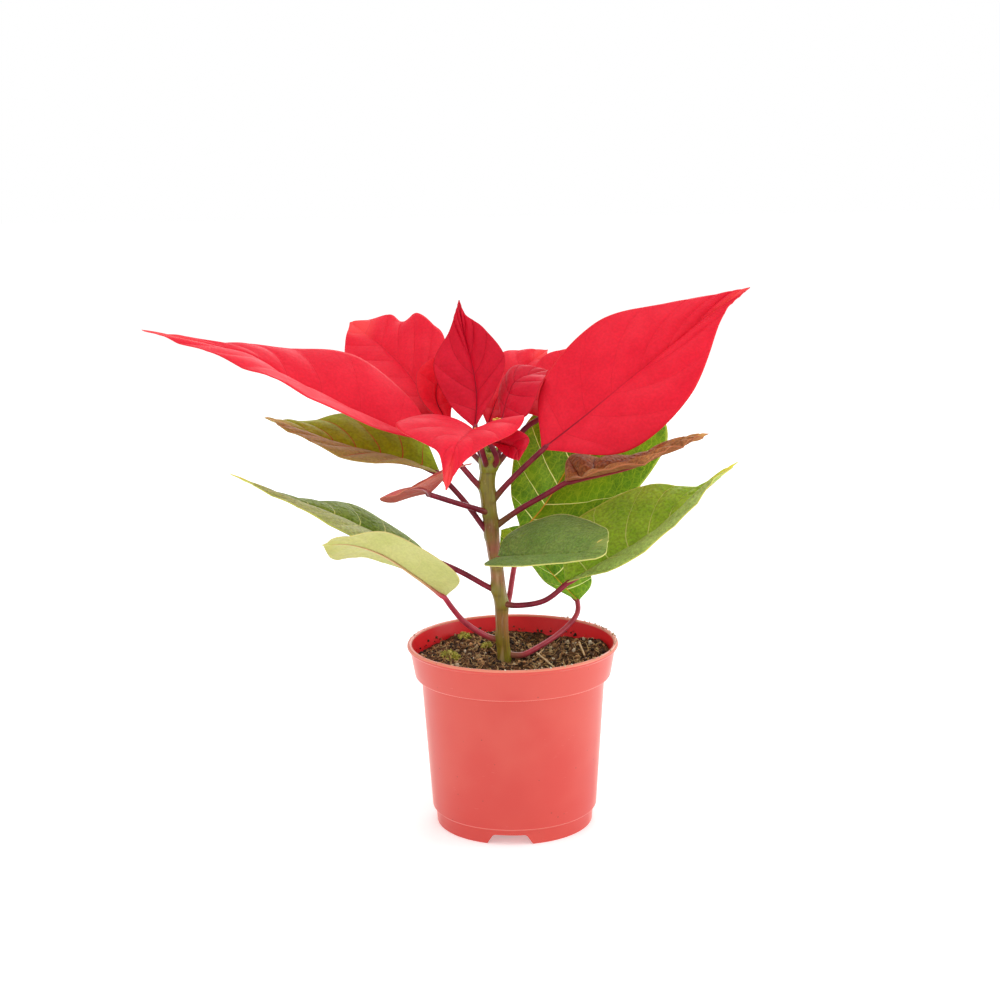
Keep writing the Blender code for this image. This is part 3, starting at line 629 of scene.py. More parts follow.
# Kind of leaf, then pairs of side veins, depth of the pleats between them, height and count of the waves
# along the margin
FORM_WORDS = ("pairs", "pleat", "wave", "waves")
LEAVES = {
    "bract_left": ("bract", 8, 0.5, 0.8, 4),
    "bract_back_left": ("bract", 7, 0.6, 1.4, 3),
    "bract_behind": ("bract_deep", 4, 0.3, 0, 1),
    "bract_upright": ("bract_deep", 7, 0.6, 0.3, 2),
    "bract_front": ("bract", 7, 0.4, 1.0, 3),
    "bract_front_right": ("bract_deep", 4, 0.3, 0, 1),
    "bract_right": ("bract", 8, 0.5, 0.5, 2),
    "bract_back_right": ("bract", 6, 0.7, 0.6, 3),
    "bract_inner_right": ("bract_deep", 5, 0.4, 0.3, 2),
    "bract_behind_right": ("bract", 4, 0.4, 0, 1),
    "leaf_upper_left": ("leaf_veined", 8, 0.6, 0.6, 3),
    "leaf_mid_left": ("leaf_green", 8, 0.5, 0.5, 3),
    "leaf_low_left": ("leaf_pale", 7, 0.4, 0.8, 2),
    "leaf_back_right": ("leaf_backlit", 8, 0.5, 0.5, 2),
    "leaf_brown_right": ("leaf_brown", 8, 1.92, 1.0, 4),
    "leaf_low_right": ("leaf_green", 8, 0.9, 0.8, 3),
    "leaf_front": ("leaf_matte", 7, 0.35, 0.4, 2),
    "leaf_low_back": ("leaf_backlit", 6, 0.5, 0.4, 2),
    "leaf_small_left": ("leaf_bronze", 4, 0.4, 0.8, 2),
}
# Leaf stalks: from inside the stem to the base of the blade
STALKS = {
    "bract_left": [(-13, 0, 168), (-18, -3, 174), (-27, -6, 185), (-38, -6, 194)],
    "bract_back_left": [(-11, 0, 179), (-18, 6, 185), (-25, 12, 191), (-31, 15, 196)],
    "bract_behind": [(-10, 0, 183), (-16, 5, 189), (-22, 7, 194), (-29, 8, 198)],
    "bract_upright": [(-10, 0, 181), (-14.5, -1.5, 187), (-16, -1, 193), (-17, 0, 199)],
    "bract_front": [(-11, 0, 178), (-13, -9, 187), (-15, -15, 197)],
    "bract_front_right": [(-10, 0, 178), (-6.5, -6, 184), (-8, -10, 190), (-11, -13, 195)],
    "bract_right": [(-9, 0, 163), (0, -5, 174), (15, -12, 190)],
    "bract_back_right": [(-10, 0, 180), (-8.5, 6, 186), (-9.5, 10, 192), (-11, 13, 198)],
    "bract_inner_right": [(-9.8, 0, 181.5), (-5.5, 0, 187), (-4, 2, 194), (-4, 3, 202)],
    "bract_behind_right": [(-9, 0, 178), (-2, 4, 186), (7, 8, 197), (15, 12, 202)],
    "leaf_upper_left": [(-9, 1, 143), (-13, 0, 149), (-23, -3, 164), (-34, -5, 178)],
    "leaf_mid_left": [(-6, 0, 117), (-12, -1, 120), (-26, -4, 129), (-40, -8, 137)],
    "leaf_low_left": [(-5, 1, 92), (-13, -2, 95), (-23, -10, 104), (-29, -16, 113), (-32, -20, 120)],
    "leaf_back_right": [(-6, 2, 106), (-2, 6, 110), (1, 10, 126), (5, 15, 144)],
    "leaf_brown_right": [(-8, 0, 150), (4, -3, 159), (17, -6, 167), (26, -10, 174)],
    "leaf_low_right": [(-6, -1, 112), (2, -4, 111), (16, -7, 114), (26, -8, 123)],
    "leaf_front": [(-7, 0, 130), (-7, -8, 134), (-7, -15, 138)],
    "leaf_low_back": [(-3.5, 0.5, 85), (4, 1, 84), (11, 5, 86), (24, 18, 90.5), (33, 27, 97.5),
                      (34, 30, 104)],
    "leaf_small_left": [(-9, 0, 156), (-16, -6, 160), (-27, -13, 165), (-39, -20, 171)],
}
# %% [markdown]
# Each row of a blade's grid runs out and forward along a side vein, the tissue between veins is puffed up,
# the midrib lies in a groove and the margin waves. The pleats of 19 leaves would take long to model by hand,
# and one formula does them all. Solidify then gives the sheet its thickness and the paler underside.
# %% Build the blades
LEAF_ROWS, LEAF_HALF = 112, 22
SLANT, ARCH, MIDRIB_GROOVE = 0.16, 0.22, 0.6
LEAF_THICK = 0.45


def blade_sheet(mid, left, right, pairs, pleat, wave, waves):
    """Points, and for each of them the place along, the millimetres from the rib and the pitch of the veins.
    Row r starts at place r of the midrib and drifts forward by SLANT on its way out. The arch lifts each
    half, the pleat is highest half way between two side veins, and the wave grows with the reach cubed."""
    across = np.linspace(-1, 1, 2 * LEAF_HALF + 1)[None, :]
    reach = np.abs(across)
    row = np.linspace(0, 1, LEAF_ROWS + 1)[:, None]
    place = row + SLANT * reach**1.2 * 4 * row * (1 - row)
    centre = spline(mid, place)
    margins = [spline(mid[:1] + side + mid[-1:], place) for side in (left, right)]
    side = np.where(across[..., None] < 0, margins[0], margins[1]) - centre
    sheet = centre + side * reach[..., None]
    normal = unit(np.cross(np.gradient(sheet, axis=1), np.gradient(sheet, axis=0)))
    fade = np.sin(np.pi * row) ** 0.5
    width = np.linalg.norm(side, axis=-1)
    puff = 2 * np.abs(np.sin(np.pi * pairs * row)) ** 0.8 - 1
    lift = ARCH * width * reach * (1 - reach)
    lift = lift + pleat * fade * puff * np.sin(np.pi * 0.9 * reach)
    lift = lift - MIDRIB_GROOVE * fade * np.exp(-((width * reach / 0.9) ** 2))
    lift = lift + wave * fade * np.sin(2 * np.pi * waves * row + 1.3 * np.sign(across)) * reach**3
    pitch = np.linalg.norm(np.gradient(sheet, axis=0), axis=-1) * LEAF_ROWS / pairs
    values = {"along": np.broadcast_to(row, pitch.shape), "from_rib": width * reach, "pitch": pitch}
    uv = np.stack(np.broadcast_arrays(row * pairs, (across + 1) / 2), -1)
    return sheet + normal * lift[..., None], normal, values, uv


def blade(name):
    """The sheet of one leaf as a mesh, thickened about its middle, with top and underside materials."""
    kind, *form = LEAVES[name]
    points, normal, values, uv = blade_sheet(**BLADES[name], **dict(zip(FORM_WORDS, form)))
    mesh = new_mesh(name, points.reshape(-1, 3), grid_faces(*points.shape[:2]), values, uv)
    weld(mesh)
    materials = [LEAF_MATERIALS.get(name, LEAF_MATERIALS[kind]), LEAF_MATERIALS[kind + "_under"]]
    piece = new_piece(name + "_blade", mesh, materials, name)
    thick = piece.modifiers.new("thickness", "SOLIDIFY")
    thick.thickness, thick.offset = LEAF_THICK * MM, 0.0
    thick.material_offset, thick.material_offset_rim = 1, 1
    return points, normal


SHEETS = {name: blade(name) for name in BLADES}
print("blades:", len(SHEETS))

# %% [markdown]
# ## Leaf stalks and midribs
#
# A leaf stalk is smooth and wine red, with darker patches and a greener foot. Where it has become the midrib
# it takes the colour of the leaf's underside, which a value carried along the mesh blends in.
# %% Stalk material


def stalk_material(name, colour, shade, base, rib):
    """Wine red with darker patches, greener near the stem, turning to the rib's colour under the blade."""
    material, tree, shader, place = new_material(name)
    patch = noise(place, 130.0, 4.0, 0.6)
    mixed = mix(ramp(patch, 0.35, 0.65), linear(colour), linear(shade))
    mixed = mix(ramp(attribute(tree, "along"), 0.03, 0.12, 0.9, 0.0), mixed, linear(base))
    mixed = mix(attribute(tree, "rib"), mixed, linear(rib))
    roughness = ramp(patch, 0.3, 0.7, 0.3, 0.44)
    plug(shader, {"Base Color": mixed, "Roughness": roughness, "Specular IOR Level": 0.3})
    bump(shader, noise(place, 900.0, 3.0, 0.6), 0.25, 0.0002)
    return material


STALK_WINE = ("94263a", "70162c", "7c5c32")
STALK_PINK = ("c04454", "a43244", "966448")
PINK_STALKS = ("leaf_low_back", "leaf_low_left", "leaf_back_right")
# %% [markdown]
# A stalk is a round rod that swells where it joins the stem. At the leaf it doesn't end but runs on as the
# midrib, which stands out under the blade and thins towards the tip. A curve object with a bevel could make
# the rod, but one computed tube makes both: it follows the stalk's path and then the blade's own middle row,
# set a little below the sheet.
# %% Build the stalks
STALK_RADIUS = 1.45
STALK_SIDES, STALK_STEPS, RIB_STEPS = 20, 44, 70
RIB_SHARE, RIB_FADE, RIB_END_RADIUS = 0.92, 14, 0.12
SMOOTHINGS = 6


def stalk(name):
    """A tube along the stalk and on along the blade's middle row. Its radius swells by 0.3 of itself at the
    stem, and under the blade it shrinks to RIB_END_RADIUS at RIB_SHARE of the midrib."""
    points, normal = SHEETS[name]
    path = np.array(STALKS[name], float)
    middle = points[:, points.shape[1] // 2]
    below = -normal[:, normal.shape[1] // 2]
    step = np.linspace(0, 1, RIB_STEPS)
    pick = np.linspace(1.5, int(RIB_SHARE * len(middle)) - 1, RIB_STEPS)
    whole = np.arange(len(middle))
    rib = np.column_stack([np.interp(pick, whole, middle[:, k]) for k in range(3)])
    down = unit(np.column_stack([np.interp(pick, whole, below[:, k]) for k in range(3)]))
    rib_radius = STALK_RADIUS * (0.4 * (1 - step) ** 1.2 + 0.45 * np.exp(-step / 0.05)) + RIB_END_RADIUS
    rib = rib + down * (rib_radius * 0.85 + 0.12)[:, None]
    u = np.linspace(0, 1, STALK_STEPS)
    swell = STALK_RADIUS * (1.0 + 0.3 * np.exp(-u / 0.1) - 0.12 * u)
    knots = np.vstack([path[:-1], 0.5 * (path[-1] + rib[0]), rib[1]])
    line = np.concatenate([spline(knots, u * (len(path) - 0.35) / len(path)), rib[2:]])
    radius = np.concatenate([swell, rib_radius[2:]])
    for _ in range(SMOOTHINGS):
        line[1:-1] = (line[:-2] + 2 * line[1:-1] + line[2:]) / 4
        radius[1:-1] = (radius[:-2] + 2 * radius[1:-1] + radius[2:]) / 4
    rings = closed_rings(tube(line, radius, STALK_SIDES))
    along = np.linspace(0, 1, len(rings))
    under_blade = np.clip((np.arange(len(rings)) - STALK_STEPS) / RIB_FADE, 0, 1)
    values = {"along": np.repeat(along, STALK_SIDES), "rib": np.repeat(under_blade, STALK_SIDES)}
    mesh = new_mesh(name + "_stalk", *skin(rings), values)
    weld(mesh)
    colours = STALK_PINK if name in PINK_STALKS else STALK_WINE
    material = stalk_material(name + "_stalk", *colours, LEAF_KINDS[LEAVES[name][0] + "_under"]["rib"])
    new_piece(name + "_stalk_and_rib", mesh, [material], name + "_stalk")


for leaf_name in STALKS:
    stalk(leaf_name)
print("stalks:", len(STALKS))

# %% [markdown]
# ## The stem
#
# The stem is green and a little woody, and its middle has turned purple-brown. A band of colours read by
# height does that, and noise stretched along the stem gives the dark streaks and pale streaks of painted
# sheen. Small pale dots are bark's pores. Below each stalk a brown painted shade darkens the crease.
# %% Stem material


BARK_BAND = {0.0: "867424", 0.16: "94861a", 0.24: "a8703a", 0.34: "94801c",
             0.42: "ac6644", 0.62: "944a38", 0.70: "8c7020", 0.86: "8e8216",
             1.0: "b0ac38"}
BARK_LOW, BARK_HIGH = 0.07, 0.195


def stem_material():
    """Colour by height along the stem, then dark streaks, pale streaks of painted sheen, pale pores, and the
    green of the knots and a brown painted shade in the creases, which are values of the mesh."""
    material, tree, shader, place = new_material("stem_bark")
    height = node(tree, "SeparateXYZ", {0: place}).outputs[2]
    height = plus(height, maths("MULTIPLY_ADD", noise(place, 70.0, 4.0), 0.03, -0.015))
    level = node(tree, "MapRange", {"Value": height, "From Min": BARK_LOW, "From Max": BARK_HIGH})
    streak = noise(stretched(place, (900.0, 900.0, 90.0)), 1.0, 4.0, 0.6)
    # pale: streaks of painted sheen, lighter where a lamp's highlight would run along the stem.
    pale = noise(stretched(place, (300.0, 300.0, 40.0)), 1.0, 3.0)
    pore = ramp(cells(stretched(place, (420.0, 420.0, 260.0)), 1.0)["Distance"], 0.08, 0.2, 0.4, 0.0)
    colour = colour_band(level.outputs["Result"], BARK_BAND)
    # The last mark is painted shade: the creases under the stalks are darkened brown.
    for share, code in (
            (ramp(streak, 0.42, 0.7, 0.0, 0.6), "4e301e"),
            (ramp(pale, 0.52, 0.7, 0.0, 0.6), "d6b48c"),
            (pore, "bca874"),
            (times(attribute(tree, "knot"), 0.8), "8a8a22"),
            (times(attribute(tree, "scar"), ramp(streak, 0.3, 0.6)), "684a26")):
        colour = mix(share, colour, linear(code))
    plug(shader, {"Base Color": colour, "Roughness": 0.42})
    bump(shader, plus(times(streak, 0.6), pore), 0.5, 0.0004)
    return material


STEM_BARK = stem_material()
# %% [markdown]
# Where each stalk leaves the stem there is a knot with a crease below it. They could be sculpted. Here every
# point's distance from the stalks' feet swells or pinches the radius, and the same distances are kept as
# values for the material.
# %% Build the stem
STEM_PATH = [(-4.0, 0, 54), (-4.0, 0, 66), (-4.3, 0, 79), (-4.8, 0, 91), (-5.2, 0, 102), (-5.4, 0, 111),
             (-6.6, 0, 119), (-7.4, 0, 129), (-8.8, 0, 139), (-9.8, 0, 150), (-10.9, 0, 161),
             (-11.5, 0, 171), (-10.6, 0, 180), (-9.8, 0, 187)]
STEM_RADII = [3.6, 3.6, 3.2, 3.2, 3.1, 3.3, 3.5, 3.3, 3.3, 3.6, 3.7, 3.9, 3.8, 3.2]
STEM_ROWS, STEM_AROUND = 220, 56
SCAR_OUT, SCAR_LIFT, SCAR_SIZE, KNOT_SIZE = 3.5, 0.9, 3.2, 5.0
CREASE_BELOW, CREASE_TALL, CREASE_WIDE, CREASE_DEPTH = 3.2, 0.5, 4.5, 0.22
STEM_CAP = 1.2


def stem():
    """Rings square to Z whose radius is the path's own, plus a swelling at each stalk, less a soft crease
    under it, plus slight ribs that turn with the height."""
    height = np.linspace(0, 1, STEM_ROWS)
    centre = spline(STEM_PATH, height)
    radius = spline([(r, 0, 0) for r in STEM_RADII], height)[:, 0]
    turn, out = circle(STEM_AROUND)
    points = centre[:, None] + out[None] * radius[:, None, None]
    lift = 0.12 * np.sin(5 * turn)[None, :] + 0.06 * np.sin(9 * turn[None, :] + centre[:, 2:3] / 6)
    knot, crease = np.zeros(lift.shape), np.zeros(lift.shape)
    for path in STALKS.values():
        away = points - (path[0] + SCAR_OUT * unit(np.subtract(path[1], path[0])))
        near = np.linalg.norm(away, axis=-1)
        under = np.exp(-(((away[..., 2] + CREASE_BELOW) / CREASE_TALL) ** 2))
        under = under * np.exp(-((near / CREASE_WIDE) ** 2))
        lift = lift + SCAR_LIFT * np.exp(-((near / SCAR_SIZE) ** 2)) - CREASE_DEPTH * under
        knot = np.maximum(knot, np.exp(-((near / KNOT_SIZE) ** 2)))
        crease = np.maximum(crease, under)
    rings = closed_rings(points + out[None] * lift[..., None])
    rings[-1] += (0, 0, STEM_CAP)
    # crease holds the painted shade of the creases under the stalks, kept as a value for the material.
    values = {name: np.pad(value, ((1, 1), (0, 0)), mode="edge") for name, value in
              (("knot", knot), ("scar", crease))}
    mesh = new_mesh("stem", *skin(rings), values)
    weld(mesh)
    new_piece("stem_bark_surface", mesh, [STEM_BARK], "stem")


stem()
# %% [markdown]
# A poinsettia's true flowers are small: red cups with yellow glands and threads round the mouth, among tiny
# green buds and scales at the stem's top. Each is a short profile turned round an axis, and each cup and ring
# of glands is one mesh, because they are too small to need more.
# %% Buds and flowers
# Buds at the stem's top: centre and radius
BUDS = [(-9.4, 1.0, 189.2, 1.8), (-11.4, -0.4, 188.6, 1.6), (-9.4, -1.7, 190.2, 1.6)]
FLOWERS = {
    "cyathium": [(-9.4, -1.7, 193.0), (-7.2, -2.4, 198), (-6.2, -2.8, 203)],
    "cyathium_left": [(-11.6, -0.8, 191.4), (-13.8, -4.0, 194), (-15.0, -5.2, 196.4), (-15.2, -5.4, 199)],
}


BUD_SCALES, SCALE_OUT, SCALE_HEIGHT = 13, 2.5, 185.5
GLANDS, THREADS = 5, 7


def plain_material(name, colour, shade, roughness, grain):
    """Two colours in small patches, with a fine bump of that grain per metre."""
    material, _, shader, place = new_material(name)
    patch = ramp(noise(place, grain / 4, 3.0, 0.6), 0.35, 0.65)
    plug(shader, {"Base Color": mix(patch, linear(colour), linear(shade)), "Roughness": roughness})
    bump(shader, noise(place, grain, 3.0, 0.6), 0.3, 0.0002)
    return material


BUD_GREEN = plain_material("bud_green", "a0aa46", "788632", 0.5, 1500.0)
CUP_RED = plain_material("cup_red", "c41e28", "a01420", 0.4, 1500.0)
GLAND_YELLOW = plain_material("gland_yellow", "ecce46", "d6aa32", 0.45, 1800.0)


def lathe(profile, place, axis, sides=20, lobes=0, depth=0.0):
    """Rings round an axis from (radius, height) pairs; lobes deepen the rings as a cosine of the angle."""
    axis = unit(np.array(axis, float))
    side = unit(np.cross(axis, (0.2, 0.9, 0.1)))
    turn, out = circle(sides)
    ring = out[:, :1] * side + out[:, 1:2] * np.cross(axis, side)
    ring = ring * (1 + depth * np.cos(lobes * turn))[:, None]
    profile = np.array(profile, float)
    return np.array(place) + profile[:, :1, None] * ring[None] + profile[:, 1:, None] * axis


def join_rings(name, many):
    """Several ring stacks as one closed mesh, each welded at its ends."""
    points, faces, count = [], [], 0
    for rings in many:
        some_points, some_faces = skin(closed_rings(rings))
        points.append(some_points)
        faces.append(some_faces + count)
        count += len(some_points)
    mesh = new_mesh(name, np.concatenate(points), np.concatenate(faces))
    weld(mesh)
    return mesh


def egg(size, tall, rows=12):
    """(radius, height) pairs of a bud that is pointed at the top: a sine for the radius, eased at the end."""
    t = np.linspace(0.04, 0.98, rows)
    return np.column_stack([size * np.sin(np.pi * t**0.8), tall * (t - 0.25)])


def buds():
    """Small pointed buds and leaf-like scales round the stem's top."""
    draw = np.random.default_rng(3)
    stacks = [lathe(egg(size * 1.05, size * 3.2), (x, y, z - 0.6), (0.12 * k - 0.1, -0.2, 1), 16, 4, 0.08)
              for k, (x, y, z, size) in enumerate(BUDS)]
    for k in range(BUD_SCALES):
        angle = 2 * np.pi * k / BUD_SCALES + draw.uniform(-0.3, 0.3)
        outward = np.array([np.cos(angle), np.sin(angle), 0.0])
        foot = outward * SCALE_OUT + (-9.8, 0, SCALE_HEIGHT + draw.uniform(-4, 3))
        lean = outward * 0.5 + (0, 0, 1.0)
        stacks.append(lathe(egg(1.0, draw.uniform(3.5, 7.0)), foot, lean, 10))
    new_piece("stem_buds", join_rings("stem_buds", stacks), [BUD_GREEN])


buds()


def flower(name, path):
    """One cyathium: a red foot and cup, and round its mouth yellow glands and fine threads."""
    u = np.linspace(0, 1, 24)
    line = spline(path, u)
    radius = 0.6 + 1.15 * np.exp(-(((u - 0.82) / 0.16) ** 2)) + 0.25 * u
    turn, _ = circle(20)
    cup = tube(line, radius[:, None] * (1 + 0.05 * np.cos(5 * turn)), 20)
    new_piece(name + "_cup", join_rings(name + "_cup", [cup]), [CUP_RED], name)
    top = line[-1] + (0, 0, 0.5)
    stacks = []
    for k in range(GLANDS):
        angle = 2 * np.pi * k / GLANDS + 0.4
        outward = np.array([np.cos(angle), np.sin(angle), 0.0])
        stacks.append(lathe(egg(0.72, 1.5, 9), top + 1.25 * outward - (0, 0, 0.1), outward + (0, 0, 0.9), 12))
    for outward in circle(THREADS)[1]:
        thread = [top + outward * 0.3 * s + (0, 0, 0.2 + 0.55 * s) for s in np.linspace(0, 1.6, 6)]
        stacks.append(tube(thread, np.array([0.14, 0.12, 0.1, 0.12, 0.24, 0.16]), 6))
    rings = join_rings(name + "_gland_ring", stacks)
    new_piece(name + "_gland_ring", rings, [GLAND_YELLOW], name + "_glands")


for flower_name, flower_path in FLOWERS.items():
    flower(flower_name, flower_path)

# %% [markdown]
# ## The pot
#
# The pot is injection-moulded polypropylene: thin and slightly waxy. One material with three sets of colours
# paints how the light falls on it: coral outside, with a painted reflection of the white surroundings, paler
# as painted light on the top of the lip, and a deeper red inside, where the light crosses the wall twice.
# %% Pot material


EDGE_HIGHLIGHT_LEVELS = (75.6, 8.1)


def pot_material(name, colour, cloud_colour, scuff_and_highlight, rim_light):
    """Plastic with faint clouds, a painted highlight line along each mould edge, fine scratches, a few specks
    of soil and a painted waxy sheen, paler where the wall turns away."""
    material, tree, shader, place = new_material(name)
    cloud = noise(place, 18.0, 3.0, 0.5)
    mixed = mix(ramp(cloud, 0.4, 0.65, 0.0, 0.8), linear(colour), linear(cloud_colour))
    height = node(tree, "SeparateXYZ", {0: place}).outputs[2]
    # Painted highlight: a pale line at the height of each rounded mould edge, where it catches the light.
    for level in EDGE_HIGHLIGHT_LEVELS:
        mixed = mix(ramp(from_middle(height, level * MM), 0.0002, 0.0005, 0.55, 0.0), mixed, linear(scuff_and_highlight))
    scratch = noise(stretched(place, (220.0, 220.0, 2600.0), (0.25, 0.12, 0.0)), 1.0, 2.0, 0.7)
    scratch = times(ramp(scratch, 0.70, 0.76), ramp(noise(place, 55.0, 2.0), 0.5, 0.62))
    mixed = mix(times(scratch, 0.35), mixed, linear(scuff_and_highlight))
    dots = cells(place, 330.0)
    rare = ramp(node(tree, "SeparateColor", {0: dots["Color"]}).outputs[0], 0.93, 0.94)
    speck = times(ramp(dots["Distance"], 0.1, 0.16, 1.0, 0.0), rare)
    mixed = mix(times(speck, 0.6), mixed, linear("963c30"))
    # Painted sheen: paler where the wall turns away, for the reflection of the white surroundings.
    facing = node(tree, "LayerWeight", {"Blend": 0.35}).outputs["Facing"]
    mixed = mix(ramp(facing, 0.55, 1.0, 0.0, rim_light), mixed, linear("f6a094"))
    plug(shader, {
        "Base Color": mixed, "Roughness": maths("MULTIPLY_ADD", cloud, 0.14, 0.30),
        "Specular IOR Level": 0.45, "Subsurface Weight": 0.12, "Subsurface Radius": (1.0, 0.35, 0.25),
        "Subsurface Scale": 0.002})
    bump(shader, plus(times(noise(place, 700.0, 3.0), 0.25), scratch), 0.12, 0.0003)
    return material


# Three copies of one plastic with painted light: the lit outside, the inside in shade and the lit top of the
# lip.
POT_OUT = pot_material("pot_coral_lit", "d45044", "ce3e36", "f09c8e", 0.8)
POT_IN = pot_material("pot_inside_shaded", "f01e28", "de121e", "e24642", 0.1)
POT_LIP = pot_material("pot_lip_lit", "e88870", "d87058", "f4bea6", 0.3)
# %% [markdown]
# A profile turned round the axis gives the wall, the band and the rolled lip. Its corners are rounded before
# turning, because real mould edges catch a line of light. The notches in the foot ring and the drain holes
# are cut with Booleans, as in the CAD, whose dimensions these are.
# %% Build the pot
POT_HEIGHT = 92.0
LIP_RADIUS = 52.5
LIP_WIDTH = 2.4
BAND_TOP_RADIUS = 51.0
BAND_LOW_RADIUS = 48.7
BAND_LOW_Z = 75.5
BODY_TOP_RADIUS = 45.6
BODY_LOW_RADIUS = 41.2
FOOT_STEP_Z = 8.0
FOOT_RADIUS = 39.1
WALL = 1.2
FLOOR_Z = 5.0
NOTCH_TOP, NOTCH_FLOOR, NOTCH_HEIGHT = 16.3, 22.0, 5.0
NOTCH_ANGLES = (-93.7, 26.3, 146.3)
DRAIN_RADIUS, DRAIN_CIRCLE, DRAINS = 4.0, 26.0, 6


def pot_profile():
    """Radius and height along the wall, from the middle of the underside to the middle of the floor."""
    inner = BODY_LOW_RADIUS - WALL - 0.4
    foot = [(0, FLOOR_Z), (FOOT_RADIUS - 2.2, FLOOR_Z), (FOOT_RADIUS - WALL, FLOOR_Z - 1.0),
            (FOOT_RADIUS - WALL, 0), (FOOT_RADIUS, 0), (FOOT_RADIUS + 0.5, FOOT_STEP_Z - 0.6),
            (BODY_LOW_RADIUS, FOOT_STEP_Z + 0.4)]
    band = [(BODY_TOP_RADIUS, BAND_LOW_Z - 0.8), (BODY_TOP_RADIUS + 0.4, BAND_LOW_Z - 0.2),
            (BAND_LOW_RADIUS - 0.5, BAND_LOW_Z), (BAND_LOW_RADIUS, BAND_LOW_Z + 0.6),
            (BAND_TOP_RADIUS, POT_HEIGHT - 2.6)]
    lip = [(LIP_RADIUS - 0.3, POT_HEIGHT - 2.0), (LIP_RADIUS, POT_HEIGHT - 1.2),
           (LIP_RADIUS - 0.5, POT_HEIGHT - 0.2), (LIP_RADIUS - 1.2, POT_HEIGHT),
           (LIP_RADIUS - LIP_WIDTH, POT_HEIGHT - 0.4)]
    inside = [(BAND_TOP_RADIUS - WALL - 0.1, POT_HEIGHT - 2.6), (BAND_LOW_RADIUS - WALL, BAND_LOW_Z + 1.6),
              (BODY_TOP_RADIUS - WALL, BAND_LOW_Z - 1.6), (inner, FLOOR_Z + 3.0),
              (inner - 1.2, FLOOR_Z + 1.4), (0, FLOOR_Z + 1.4)]
    return foot + band + lip + inside


def inner_radius(height):
    """The pot's inner radius at a height, read from its profile."""
    wall = [(BODY_LOW_RADIUS - WALL - 0.4, FLOOR_Z + 3.0), (BODY_TOP_RADIUS - WALL, BAND_LOW_Z - 1.6),
            (BAND_LOW_RADIUS - WALL, BAND_LOW_Z + 1.6), (BAND_TOP_RADIUS - WALL - 0.1, POT_HEIGHT - 2.6)]
    return np.interp(height, [z for _, z in wall], [r for r, _ in wall])


TURN_STEPS = 176
NOTCH_ROUND, CORNER_ROUND, LONGEST_EDGE, SHARP_DEGREES = 1.2, 0.55, 6.0, 38


def rounded(profile, radius, steps=4):
    """Each corner of the profile becomes a small arc: a quadratic curve that starts and ends at most radius,
    or 0.45 of the edge, from the corner."""
    profile = np.array(profile, float)
    points = [profile[:1]]
    for before, corner, after in zip(profile[:-2], profile[1:-1], profile[2:]):
        into, out = before - corner, after - corner
        cut = [min(radius, 0.45 * np.linalg.norm(edge)) for edge in (into, out)]
        start, end = corner + unit(into) * cut[0], corner + unit(out) * cut[1]
        t = np.linspace(0, 1, steps)[:, None]
        points.append((1 - t) ** 2 * start + 2 * t * (1 - t) * corner + t**2 * end)
    return np.concatenate(points + [profile[-1:]])


def split_long(profile, longest):
    """Adds points so that no edge of the profile is longer than that, for an even surface."""
    pieces = [np.linspace(a, b, max(2, int(np.ceil(np.linalg.norm(b - a) / longest)) + 1))[:-1]
              for a, b in zip(profile[:-1], profile[1:])]
    return np.concatenate(pieces + [profile[-1:]])


def turned(name, profile, steps):
    """A profile of (radius, height) turned once round the pot's axis."""
    points = profile[:, :1, None] * circle(steps)[1][None] + np.array([0, 0, 1.0]) * profile[:, 1:, None]
    mesh = new_mesh(name, *skin(points))
    weld(mesh)
    return mesh


def notch_mesh():
    """Tapered blocks through the foot ring, one at each notch angle."""
    edit = bmesh.new()
    for angle in NOTCH_ANGLES:
        block = bmesh.ops.create_cube(edit, size=1.0)["verts"]
        for vertex in block:
            x, y, z = vertex.co
            width, level = (NOTCH_TOP, NOTCH_HEIGHT) if z > 0 else (NOTCH_FLOOR + 1.0, -0.5)
            vertex.co = (FOOT_RADIUS - 1 + 12 * x, width * y, level)
        turn = Matrix.Rotation(math.radians(angle), 3, "Z")
        bmesh.ops.rotate(edit, verts=block, cent=(0, 0, 0), matrix=turn)
    radial = []
    for edge in edit.edges:
        start, end = (v.co for v in edge.verts)
        if min(start.z, end.z) > 0 and abs((end - start).normalized().dot((end + start).normalized())) > 0.8:
            radial.append(edge)
    bmesh.ops.bevel(edit, geom=radial, offset=NOTCH_ROUND, segments=4, affect="EDGES", profile=0.5)
    bmesh.ops.recalc_face_normals(edit, faces=edit.faces)
    bmesh.ops.scale(edit, verts=edit.verts, vec=(MM, MM, MM))
    bmesh.ops.translate(edit, verts=edit.verts, vec=POT_AXIS)
    mesh = bpy.data.meshes.new("notches")
    edit.to_mesh(mesh)
    edit.free()
    return mesh


def drain_mesh():
    """Upright cylinders where the floor has its drain holes."""
    edit = bmesh.new()
    for k in range(DRAINS):
        angle = math.radians(60 * k + 20)
        made = bmesh.ops.create_cone(edit, cap_ends=True, segments=28, radius1=DRAIN_RADIUS * MM,
                                     radius2=DRAIN_RADIUS * MM, depth=12 * MM)
        at = np.array([DRAIN_CIRCLE * math.cos(angle), DRAIN_CIRCLE * math.sin(angle), FLOOR_Z])
        bmesh.ops.translate(edit, verts=made["verts"], vec=POT_AXIS + at * MM)
    mesh = bpy.data.meshes.new("drains")
    edit.to_mesh(mesh)
    edit.free()
    return mesh


def face_values(mesh, kind):
    """Every face's centre or normal, as rows of three."""
    flat = np.empty(len(mesh.polygons) * 3)
    mesh.polygons.foreach_get(kind, flat)
    return flat.reshape(-1, 3)


